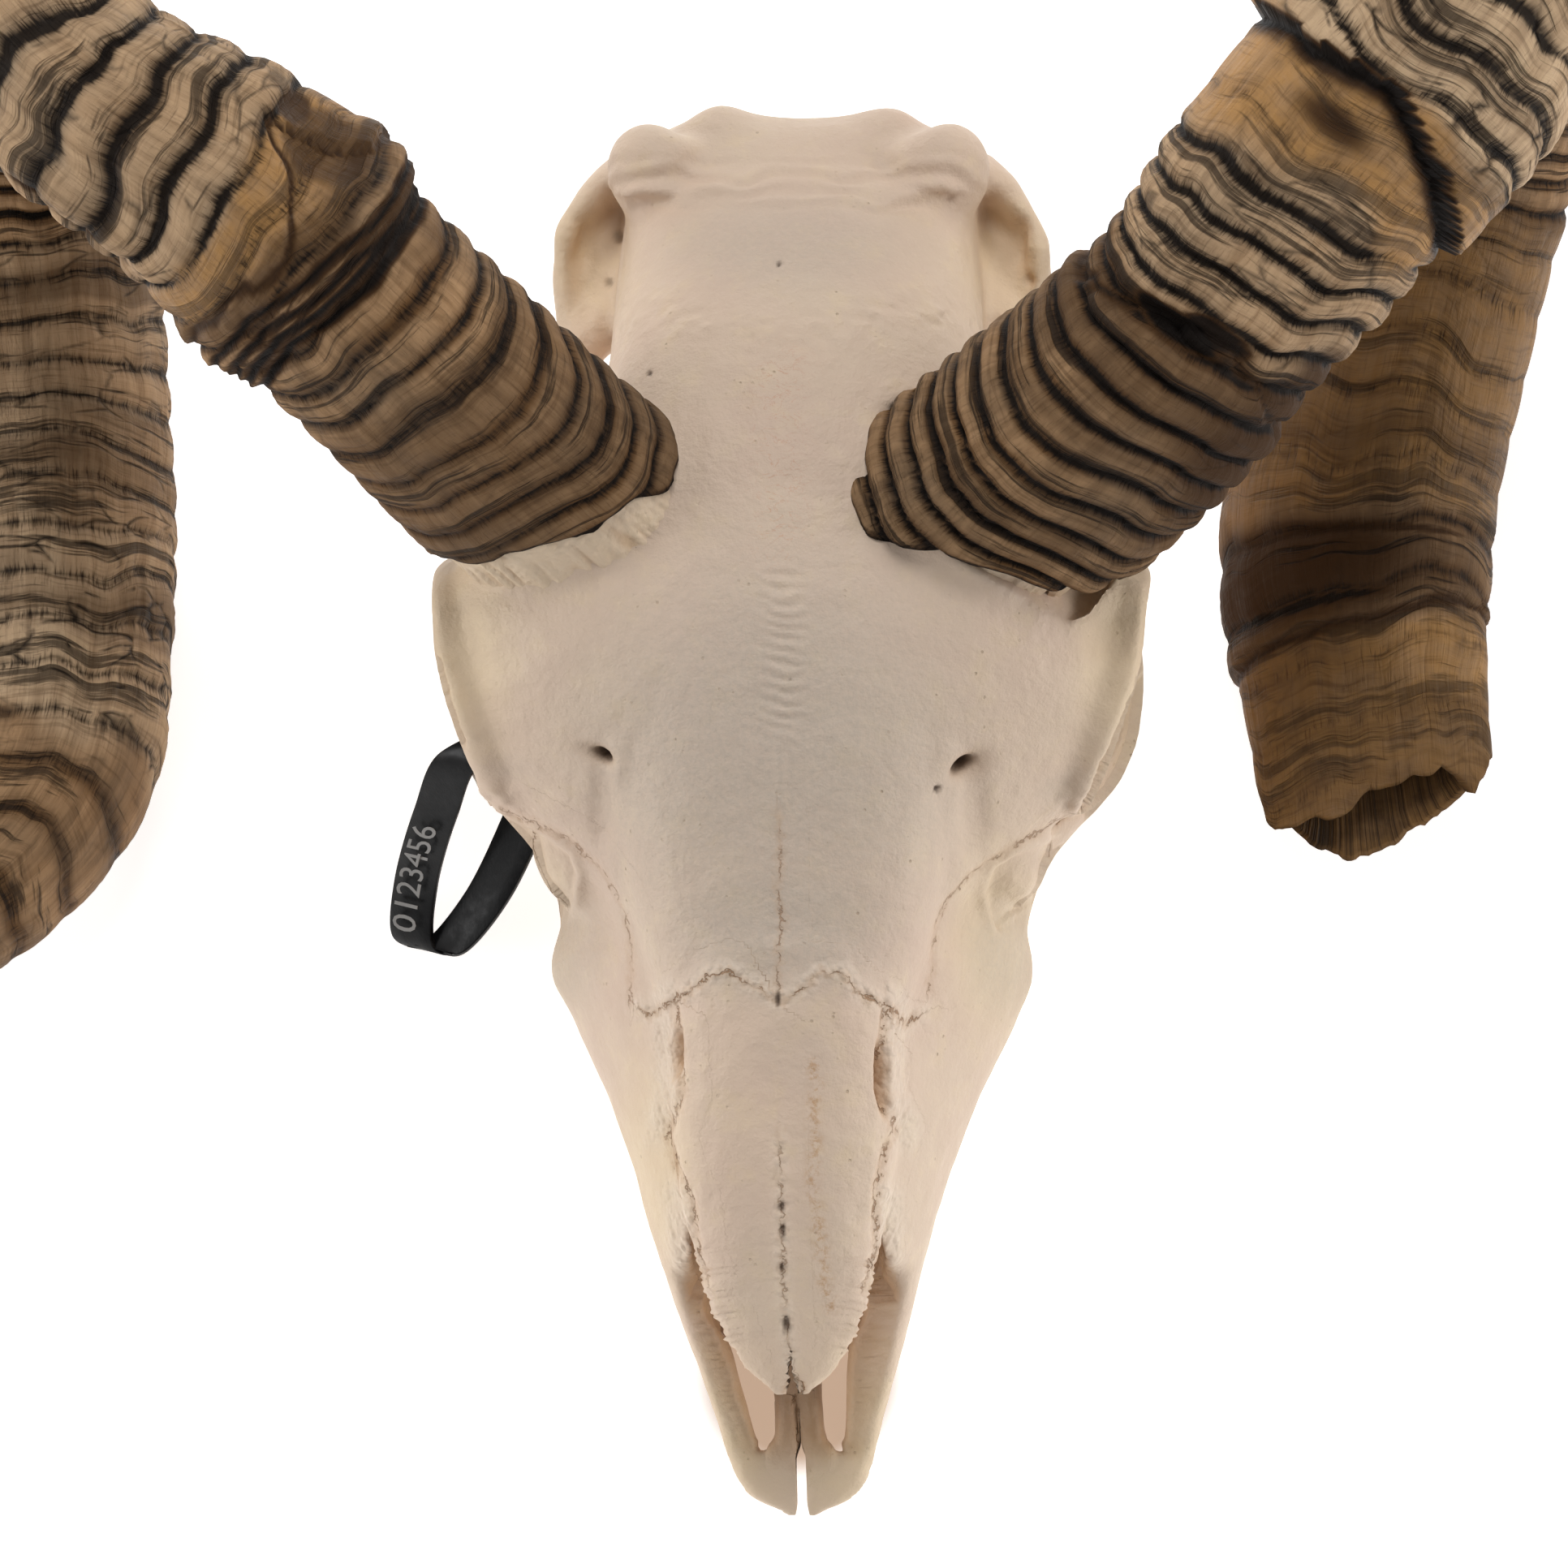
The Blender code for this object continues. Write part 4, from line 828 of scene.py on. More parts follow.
# The rough rims over the orbits, on the picture
ROUGH_SPOTS = ((620, 985), (1325, 985))
ROUGH_SIZE = (55, 26)
# In millimetres: the distance that stands for no seam, and the height below which nothing is raised
NO_SEAM = 6.0
FLOOR_BAND = 0.4
# How far the snout's tip bends to the animal's left, and between which lengths along the skull
SNOUT_BEND = 2.465
BEND_REACH = (98.0, 172.0)


def snout_bend(length: np.ndarray | float) -> np.ndarray | float:
    """Give how far the snout is bent sideways at a place along the skull, in millimetres."""
    return SNOUT_BEND * ease(-length, *BEND_REACH)


class Carving:
    """The small forms raised and sunk on the skull, and the marks that its finish reads."""

    def __init__(self, view: PhotoView, points: np.ndarray, normals: np.ndarray, seen: np.ndarray) -> None:
        """Start on a smooth surface.

        Args:
            view: The viewpoint.
            points: The surface's points.
            normals: Their normals.
            seen: 1 for each point that nothing hides from the viewpoint, otherwise 0.
        """
        self.points, self.normals, self.seen = points, normals, seen
        self.spots = view.pixels(points)
        self.side, self.off, self.forth = np.sign(points[:, 0]), np.abs(points[:, 0]), -points[:, 1]
        self.lift = 0.15 * drift(points, 9.0, 1) + 0.07 * drift(points, 3.2, 2) + 0.035 * drift(points, 1.7, 13)
        names = ("warm", "grey_and_shade", "grain", "pit_shade", "inner_tint_and_shade", "stain", "vein", "seam_dark")
        self.marks = {name: np.zeros(len(points)) for name in names}
        self.marks["seam"] = np.full(len(points), NO_SEAM)

    def deepen(self, name: str, values: np.ndarray) -> None:
        """Raise a mark to at least these values."""
        self.marks[name] = np.maximum(self.marks[name], values)

    def gap_to(self, line: tuple) -> tuple[np.ndarray, np.ndarray]:
        """Give each point's distance from a line on the picture, in millimetres, and its share of the way."""
        gap, way = from_line(self.spots, line)
        return gap / PIXELS_PER_MM, way

    def add_seam(self, line: tuple, dark: float, reach: tuple = (0.0, 1.0)) -> tuple[np.ndarray, np.ndarray]:
        """Mark one suture.

        Args:
            line: Its line on the picture.
            dark: How dark it is.
            reach: The shares of the way where it starts and ends.

        Returns:
            Each point's distance from it, in millimetres, and its share of the way.
        """
        gap, way = self.gap_to(line)
        closer = (np.abs(gap) < np.abs(self.marks["seam"])) & (self.seen > 0)
        span = within(way, reach[0] - 0.02, reach[0] + 0.02, reach[1] - 0.02, reach[1] + 0.02)
        self.marks["seam"][closer] = gap[closer]
        self.marks["seam_dark"][closer] = (dark * span)[closer]
        return gap, way

    def place_patches(self) -> None:
        """Place the dents, the lumps and the patches of tone."""
        for dent in DENTS:
            share = dent.share(self.spots) * self.seen
            self.lift += dent.depth * share
            self.deepen(dent.mark, np.clip(share * 1.6, 0, 1) * dent.dark)
        for lump in LUMPS:
            self.lift += lump.lift(self.points)
        for patch in GREY_AND_SHADE_PATCHES:
            self.deepen("grey_and_shade", patch.share(self.spots) * self.seen * patch.dark)
        for patch in WARM_PATCHES:
            self.deepen("warm", patch.share(self.spots) * self.seen * 0.8)

    def carve_forehead(self) -> None:
        """Form the seam, the ridge and the small wrinkles along the forehead's midline."""
        points, seen, lift, down = self.points, self.seen, self.lift, self.spots[:, 1]
        gap, _ = self.add_seam(FOREHEAD_LINE, 0.55)
        lift += (0.3 * bump(gap, 2.0) * drift(points, 1.8, 14) - 0.18 * bump(gap, 0.6)) * seen
        gap, _ = self.gap_to(MIDLINE)
        ridged = bump(gap, 3.8) * within(down, 670, 730, 880, 930) * seen
        wrinkle = down / 15.5 + 0.5 * drift(points, 6.0, 3) + 0.25 * drift(points, 2.6, 23)
        lift += 0.30 * ridged * np.sin(2 * math.pi * wrinkle + 0.5 * gap)
        lift += 0.3 * bump(gap, 2.2) * within(down, 700, 760, 960, 1040) * seen
        lift += 0.32 * bump(gap, 0.9) * within(down, 880, 910, 1000, 1020) * seen
        self.marks["vein"] = bump(gap, 5.5) * within(down, 400, 450, 650, 720) * seen

    def carve_nose(self) -> None:
        """Form the beaded bands along the brow's and the nasals' seams, and the grooves between them."""
        points, seen, lift = self.points, self.seen, self.lift
        gap, _ = self.add_seam(BROW_LINE, 0.8)
        beads = 0.5 + 0.35 * drift(points, 2.7, 5) + 0.25 * drift(points, 1.5, 15)
        band = 0.8 * bump(gap + 0.4, 1.9) * seen
        edges = [(*self.add_seam(line, 0.75, (0.0, 0.75)), out) for line, out in NASAL_EDGES]
        for edge, way, out in edges:
            upper = 1 - ease(way, 0.30, 0.40)
            strip = bump(out * edge - 2.6, 2.6) * np.maximum(upper, within(way, 0.42, 0.52, 0.68, 0.74)) * seen
            band = np.maximum(band, strip)
            lift -= 0.7 * bump(edge, 0.8) * (1 - ease(way, 0.72, 0.78)) * seen
        lift += band * (1.35 * beads - 0.35)
        self.marks["grain"] = np.clip(band * 0.7, 0, 0.5)
        gap, way = self.add_seam(NASAL_LINE, 0.55, (0.35, 1.0))
        knots = bump(gap, 1.5) * ease(way, 0.30, 0.42) * seen
        lift += knots * (0.55 * beads) - 0.25 * bump(gap, 0.5) * ease(way, 0.1, 0.4) * seen
        self.deepen("grain", knots * 0.6)
        gap, _ = self.add_seam(SNOUT_LINE, 1.0)
        lift -= 0.7 * bump(gap, 0.6) * seen * (self.spots[:, 1] > SNOUT_LINE[0][1] - 10)

    def carve_cheeks(self) -> None:
        """Form the cheek seams, the feet and outer edges of the orbits, and the brown stain."""
        points, seen, lift = self.points, self.seen, self.lift
        for line, out in CHEEK_LINES:
            gap, way = self.add_seam(line, 0.55, (0.04, 1.0))
            lift -= 0.22 * bump(gap, 0.6) * seen
            middle_stretch = within(way, 0.12, 0.36, 0.72, 0.95) * seen
            lift += (0.45 * bump(out * gap + 2.0, 2.6) - 1.5 * bump(out * gap - 5.0, 5.0)) * middle_stretch
        for line, out in ORBIT_FEET:
            gap, way = self.gap_to(line)
            gap = out * gap
            reach = within(way, 0.05, 0.25, 0.80, 0.98) * seen
            lift += (0.6 * bump(gap + 0.4, 1.1) - 1.2 * within(gap, 0.0, 1.4, 4.0, 9.0)) * reach
        for line, out, depth in ORBIT_EDGES:
            gap, way = self.gap_to(line)
            gap = out * gap + 0.3 * drift(points, 2.6, 12)
            reach = within(way, 0.03, 0.15, 0.86, 0.98) * seen
            inside = within(gap, 0.0, 0.9, 7.0, 9.0) * reach
            lift += 0.5 * bump(gap + 1.2, 1.4) * reach - depth * inside
            # Painted shade, orange, inside the orbit's edge.
            self.deepen("inner_tint_and_shade", 0.25 * inside)
        gap, _ = self.gap_to(STAIN_LINE)
        self.marks["stain"] = 1.3 * bump(gap, 1.4) * seen

    def carve_nape(self) -> None:
        """Form the nuchal crest and its folds, the crown's pebbled seam and the rough rims over the orbits."""
        points, seen, lift = self.points, self.seen, self.lift
        gap, _ = self.gap_to(NUCHAL_LINE)
        gap = -gap
        folds = np.sin(3.4 * drift(points, 7.0, 7) + 1.5 * points[:, 1])
        lift += 0.30 * within(gap, -3.0, 0.0, 5, 10) * folds * seen
        lift += (1.2 * bump(gap - 1.4, 1.5) - 0.7 * bump(gap + 1.2, 1.3)) * ease(self.off, 10.0, 22.0) * seen
        gap, _ = self.gap_to(CORONAL_LINE)
        lift += bump(gap, 4.0) * seen * 0.35 * drift(points, 1.9, 8)
        for middle in ROUGH_SPOTS:
            away = (self.spots - middle) / ROUGH_SIZE
            lift += np.exp(-(away**2).sum(axis=1)) * 0.55 * drift(points, 2.6, 9) * seen

    def mark_hidden(self, border: np.ndarray) -> None:
        """Mark the nose's inside, the underside, the sutures out of sight and the teeth.

        Args:
            border: Each point's signed distance to the nearest border between two bones.
        """
        points, normals, hidden = self.points, self.normals, 1 - self.seen
        inwards = -normals[:, 0] * self.side
        # The nose's inside is orange, most of all where the nasal roof hides it: partly its own tint, partly painted
        # shade.
        in_nose = (self.off < 23) & (self.forth > 58) & (self.forth < 152) & (points[:, 2] > 14)
        under_roof = in_nose & (hidden > 0) & (points[:, 2] < 82)
        walls = in_nose * ease(inwards, 0.05, 0.5) * (points[:, 2] < 62)
        walls = walls * (0.9 + 0.7 * ease(points[:, 1], -148.0, -126.0))
        self.deepen("inner_tint_and_shade", np.maximum(walls * 0.55, 0.8 * (under_roof & (normals[:, 2] < 0.7))))
        self.deepen("warm", 0.45 * hidden * ease(-normals[:, 2], -0.6, 0.4))
        closer = (np.abs(border) < np.abs(self.marks["seam"])) & (self.seen < 1)
        self.marks["seam"][closer] = border[closer]
        self.marks["seam_dark"][closer] = 0.7
        teeth = (points[:, 2] < 9.5) & (self.off > 14) & (self.forth > 8) & (self.forth < 92)
        self.marks["enamel"] = teeth.astype(float)

    def carve_snout(self) -> np.ndarray:
        """Form the walls inside the snout, the bars and the tips, and paint shade on the bars.

        Returns:
            How far each point moves towards the midline, in millimetres.
        """
        points, lift, forth = self.points, self.lift, self.forth
        inwards = ease(-self.normals[:, 0] * self.side, 0.2, 0.7)
        low_side = (self.off > 9.0) * (points[:, 2] < 34.0)
        lift += 1.6 * inwards * within(forth, 122.0, 128.0, 146.0, 152.0) * low_side
        shelf = np.where(points[:, 0] > 0, 4.9, 2.2) * inwards * within(forth, 112.0, 119.0, 125.0, 149.0) * low_side
        bars = (1 - ease(self.off, 6.0, 7.5)) * within(forth, 112.0, 120.0, 150.0, 156.0) * (points[:, 2] < 32.0)
        lift += 0.7 * bars
        # Painted shade on the bars between the palate's openings: orange, with a little near-black.
        self.deepen("inner_tint_and_shade", 0.8 * bars * ease(points[:, 1], -154.0, -144.0))
        self.deepen("pit_shade", 0.3 * bars * ease(points[:, 1], -150.0, -136.0))
        tips = np.exp(-(((self.off - 11.5) / 4.5) ** 2) - ((forth - 158.0) / 6.0) ** 2)
        lift += 1.3 * tips * self.seen
        return shelf


@dataclass
class Skull:
    """The skull's fine surface, sorted into its separate bones."""

    view: PhotoView
    voxel: float = 0.72
    rough_voxel: float = 1.3
    swell: float = 0.2
    relaxing: int = 16
    lip: float = 1.5
    bones: tuple = (
        "braincase_shell", "occipital", "frontal_left", "frontal_right", "nasal_left", "nasal_right",
        "maxilla_left", "maxilla_right", "premaxilla_left", "premaxilla_right", "zygomatic_left", "zygomatic_right",
    )
    thin_bones: tuple = ("nasal_left", "nasal_right", "premaxilla_left", "premaxilla_right")

    def __post_init__(self) -> None:
        """Read the solids and lay the fine surface over them."""
        self.owner_tree, self.owners = self.sorter()
        self.mesh = self.refined()
        self.kind = self.sorted_faces()
        self.relax()

    def sorter(self) -> tuple[BVHTree, np.ndarray]:
        """Make a tree of all solids' faces, and each face's bone."""
        corners, faces, owners = [], [], []
        for index, name in enumerate(self.bones):
            bm = bmesh.new()
            bm.from_mesh(bpy.data.objects[name].data)
            start = len(corners)
            corners += [vert.co.copy() for vert in bm.verts]
            faces += [[start + vert.index for vert in face.verts] for face in bm.faces]
            owners += [index] * len(bm.faces)
            bm.free()
        return BVHTree.FromPolygons(corners, faces), np.array(owners)

    def refined(self) -> Mesh:
        """Join swollen copies of the solids and lay an even fine mesh over them."""
        joined = bmesh.new()
        for name in self.bones:
            bm = bmesh.new()
            bm.from_mesh(bpy.data.objects[name].data)
            bmesh.ops.remove_doubles(bm, verts=bm.verts, dist=0.00001)
            bm.normal_update()
            for vert in bm.verts:
                vert.co += vert.normal * (self.swell * MM)
            copy = bpy.data.meshes.new("copy")
            bm.to_mesh(copy)
            bm.free()
            joined.from_mesh(copy)
            bpy.data.meshes.remove(copy)
        piece = as_piece("skull_surface", joined)
        skin = piece.modifiers.new("even", "REMESH")
        skin.mode = "VOXEL"
        skin.voxel_size = self.grain() * MM
        graph = bpy.context.evaluated_depsgraph_get()
        mesh = bpy.data.meshes.new_from_object(piece.evaluated_get(graph))
        bpy.data.objects.remove(piece)
        LOG.info("skull surface: %d faces", len(mesh.polygons))
        return mesh

    def grain(self) -> float:
        """Give the size of the surface's faces, in millimetres."""
        return self.voxel

    def face_corners(self) -> np.ndarray:
        """Give the four corners of each face."""
        flat = np.empty(len(self.mesh.loops), dtype=np.int64)
        self.mesh.loops.foreach_get("vertex_index", flat)
        return flat.reshape(-1, 4)

    def sorted_faces(self) -> np.ndarray:
        """Give each face the bone it lies on, with smooth borders."""
        corners = self.face_corners()
        points = points_of(self.mesh)
        middles = (points[corners].mean(axis=1) + ORIGIN) * MM
        kind = np.array([self.owners[self.owner_tree.find_nearest(place)[2]] for place in middles.tolist()])
        count = len(points)
        for _ in range(6):
            votes = np.zeros((count, len(self.bones)), dtype=np.float32)
            for corner in range(4):
                np.add.at(votes, (corners[:, corner], kind), 1.0)
            kind = votes[corners].sum(axis=1).argmax(axis=1)
        return kind

    def relax(self) -> None:
        """Smooth the surface, less on the thin bones and near the floor."""
        points = points_of(self.mesh)
        pairs = edge_pairs(self.mesh)
        degree = np.bincount(pairs.ravel(), minlength=len(points))[:, None]
        thin = np.isin(self.kind, [self.bones.index(name) for name in self.thin_bones])
        calm = np.ones(len(points))
        calm[self.face_corners()[thin].ravel()] = 0.45
        calm = np.where(points[:, 2] < 13.0, np.minimum(calm, 0.3), calm)[:, None]
        for _ in range(self.relaxing):
            total = np.column_stack([neighbour_sum(pairs, points[:, axis]) for axis in range(3)])
            points += (total / degree - points) * 0.6 * calm
        points[:, 2] = np.maximum(points[:, 2], 0.0)
        place_points(self.mesh, points)

    def tree(self) -> BVHTree:
        """Make a search tree of the whole surface, in the skull's own frame."""
        points = points_of(self.mesh)
        return BVHTree.FromPolygons([tuple(point) for point in points.tolist()], self.face_corners().tolist())

    def in_sight(self, points: np.ndarray, normals: np.ndarray) -> np.ndarray:
        """Tell which points nothing hides from the viewpoint."""
        tree = self.tree()
        ways = self.view.eye() - points
        ways /= np.linalg.norm(ways, axis=1)[:, None]
        facing = np.einsum("ij,ij->i", ways, normals)
        seen = np.zeros(len(points))
        starts = points + normals * 0.6
        for index in np.nonzero(facing > 0.05)[0]:
            if tree.ray_cast(Vector(starts[index]), Vector(ways[index]))[0] is None:
                seen[index] = 1.0
        return seen

    def sculpt(self) -> None:
        """Raise and sink the small forms, and mark the surface for its finish."""
        points, normals = points_of(self.mesh), normals_of(self.mesh)
        carving = Carving(self.view, points, normals, self.in_sight(points, normals))
        carving.place_patches()
        carving.carve_forehead()
        carving.carve_nose()
        carving.carve_cheeks()
        carving.carve_nape()
        carving.mark_hidden(self.border_distance())
        self.calm_marks(carving.marks)
        shelf = carving.carve_snout()
        low = points[:, 2] < FLOOR_BAND
        points += normals * np.where(low, 0.0, carving.lift)[:, None]
        points[:, 0] -= np.sign(points[:, 0]) * shelf
        points[:, 0] += snout_bend(points[:, 1])
        points[:, 2] = np.maximum(points[:, 2], 0.0)
        place_points(self.mesh, points)
        for name, values in carving.marks.items():
            tag(self.mesh, name, values)

    def calm_marks(self, marks: dict) -> None:
        """Soften the edges of the marks that end at what the viewpoint sees."""
        pairs = edge_pairs(self.mesh)
        degree = np.bincount(pairs.ravel(), minlength=len(self.mesh.vertices))
        for name in ("warm", "inner_tint_and_shade", "grey_and_shade"):
            for _ in range(5):
                marks[name] = 0.4 * marks[name] + 0.6 * neighbour_sum(pairs, marks[name]) / degree

    def border_distance(self) -> np.ndarray:
        """Estimate each point's signed distance to the nearest border between two bones."""
        corners = self.face_corners()
        count = len(self.mesh.vertices)
        low = np.full(count, 99)
        high = np.full(count, -1)
        for corner in range(4):
            np.minimum.at(low, corners[:, corner], self.kind)
            np.maximum.at(high, corners[:, corner], self.kind)
        pairs = edge_pairs(self.mesh)
        away = np.where(low != high, 0.0, 9.0)
        step = self.grain()
        for _ in range(6):
            first, second = away[pairs[:, 0]], away[pairs[:, 1]]
            np.minimum.at(away, pairs[:, 0], second + step)
            np.minimum.at(away, pairs[:, 1], first + step)
        return np.where(low % 2 == 0, away, -away)

    def open_midline(self, name: str, bm: BMesh) -> None:
        """Draw the tips of the nasals and the premaxillae apart, and notch the nasals' free edges."""
        side = 1.0 if name.endswith("_left") else -1.0
        for vert in bm.verts if name in self.thin_bones else ():
            x, y, _ = np.array(vert.co) / MM - ORIGIN
            away = side * (x - float(snout_bend(y)))
            near = 1.0 - float(ease(away, 0.5, 5.5))
            if name.startswith("nasal"):
                step = 1.15 * float(ease(-y, 134.0, 141.5)) * near
                tooth = 0.5 * math.sin(2.9 * y) * math.sin(1.7 * y + side) + 0.2 * math.sin(6.1 * y)
                step += tooth * float(ease(-y, 112.0, 118.0)) * float(ease(away, 5.0, 11.0) if y > -134.0 else near)
            else:
                opened = 1.05 * float(ease(-y, 145.5, 149.5)) + 0.7 * float(ease(-y, 158.0, 163.0))
                drawn = 2.2 * float(ease(-y, 150.0, 156.0)) * (1.0 - float(ease(away, 5.0, 12.0)))
                step = max(away - drawn, opened) - away if -y > 139.0 else 0.0
            vert.co.x += side * step * MM

    def part(self, material: Material) -> None:
        """Separate the bones, turn their rims inwards and dress them in the bone's finish."""
        shade = self.mesh.attributes.new("shade", "FLOAT_VECTOR", "POINT")
        shade.data.foreach_set("vector", normals_of(self.mesh).astype(np.float32).ravel())
        for index, name in enumerate(self.bones):
            bm = bmesh.new()
            bm.from_mesh(self.mesh)
            bm.faces.ensure_lookup_table()
            away = [bm.faces[face] for face in np.nonzero(self.kind != index)[0]]
            bmesh.ops.delete(bm, geom=away, context="FACES")
            layer = bm.verts.layers.float_vector["shade"]
            rim = [edge for edge in bm.edges if edge.is_boundary]
            for vert in bmesh.ops.extrude_edge_only(bm, edges=rim)["geom"]:
                if isinstance(vert, BMVert):
                    vert.co -= Vector(vert[layer]) * (self.lip * MM)
            self.open_midline(name, bm)
            piece = as_piece(name + "_bone", bm)
            held = np.empty(len(piece.data.vertices) * 3, dtype=np.float32)
            piece.data.attributes["shade"].data.foreach_get("vector", held)
            piece.data.normals_split_custom_set_from_vertices(held.reshape(-1, 3).tolist())
            piece.data.attributes.remove(piece.data.attributes["shade"])
            settle(piece, material, "bone", name)
        bpy.data.meshes.remove(self.mesh)


# Horns: the route of the middle, then the half breadth and half thickness along it, in millimetres
HORN_BASE_WIDE = (0.88, -0.20, -0.42)
LEFT_HORN = (
    (41.0, 30.5, 99.5, 29.5, 22.0),
    (79.0, 54.0, 138.0, 27.5, 22.5),
    (113.0, 89.0, 166.0, 28.5, 23.0),
    (143.0, 129.0, 162.0, 28.5, 23.0),
    (153.0, 159.0, 110.0, 28.5, 23.5),
    (138.0, 130.0, 54.0, 30.0, 24.0),
    (118.5, 52.0, 34.0, 31.0, 24.0),
    (122.5, -21.0, 37.0, 25.5, 21.0),
)
RIGHT_HORN = (
    (46.0, 33.5, 101.5, 28.0, 21.5),
    (73.0, 50.0, 138.0, 25.5, 21.5),
    (105.0, 74.5, 163.0, 25.0, 21.5),
    (140.0, 98.0, 169.0, 23.0, 20.5),
    (161.0, 134.0, 150.0, 26.0, 22.5),
    (170.0, 156.0, 106.0, 28.0, 23.5),
    (168.5, 135.0, 58.0, 28.5, 23.5),
    (163.0, 84.0, 35.0, 28.5, 23.5),
    (158.5, 26.0, 33.0, 27.5, 22.5),
    (162.0, -12.0, 35.0, 24.0, 20.5),
    (183.0, -38.0, 41.0, 19.0, 16.5),
    (217.0, -42.0, 54.0, 12.0, 10.5),
    (246.0, -24.0, 74.0, 2.6, 2.6),
)
PALENESS = {Zone.SHEATH: 1.0, Zone.BLEACHED: 0.55}
WORN_END_LINE = (
    (1885, 850), (1845, 915), (1836, 938), (1792, 992), (1750, 1040), (1700, 1068), (1655, 1078), (1603, 1058),
    (1568, 1014), (1548, 975), (1500, 880),
)
WORN_LIP = ((-34, 458.0), (-20, 450.0), (0, 445.0), (12, 443.0), (42, 446.0), (74, 450.0), (106, 452.0), (132, 460.0))


def unrolled(turns: np.ndarray, radius: float, heights: np.ndarray | float) -> np.ndarray:
    """Give places on an upright cylinder, which patterns round a horn read without a seam."""
    return np.stack((radius * np.cos(turns), radius * np.sin(turns), heights + 0 * turns), axis=-1)


@dataclass(frozen=True)
class Ledge:
    """The edge of a layer round the horn: past it the horn is thicker or thinner.

    Its places hold a turn in degrees and a run along the horn in millimetres.
    """

    places: tuple
    rise: float
    width: float = 1.6
    ragged: float = 1.5
    shadow: float = 0.8
    fade: float = 60.0
    shade: float = 0.0

    def edge(self, turn: np.ndarray) -> np.ndarray:
        """Give the edge's run along the horn at each turn."""
        angles = [place[0] for place in self.places]
        runs = [place[1] for place in self.places]
        return np.interp(np.degrees(turn) % 360, angles + [angles[0] + 360], runs + [runs[0]], period=360)


@dataclass(frozen=True)
class Hollow:
    """A hollow or a lump on the horn, at a turn in degrees and a run in millimetres.

    With no depth it is a stain, dark above zero and bleached below it; with depth, its dark value paints shade into
    the hollow.
    """

    turn: float
    run: float
    around: float
    length: float
    depth: float
    dark: float = 0.0

    def share(self, runs: np.ndarray, turns: np.ndarray) -> np.ndarray:
        """Give how much each point belongs to this form, from 0 to 1."""
        swing = (np.degrees(turns) - self.turn + 180) % 360 - 180
        across = np.radians(swing) * ROLL_RADIUS / self.around
        return np.exp(-((across**2 + ((runs - self.run) / self.length) ** 2) ** 1.4))


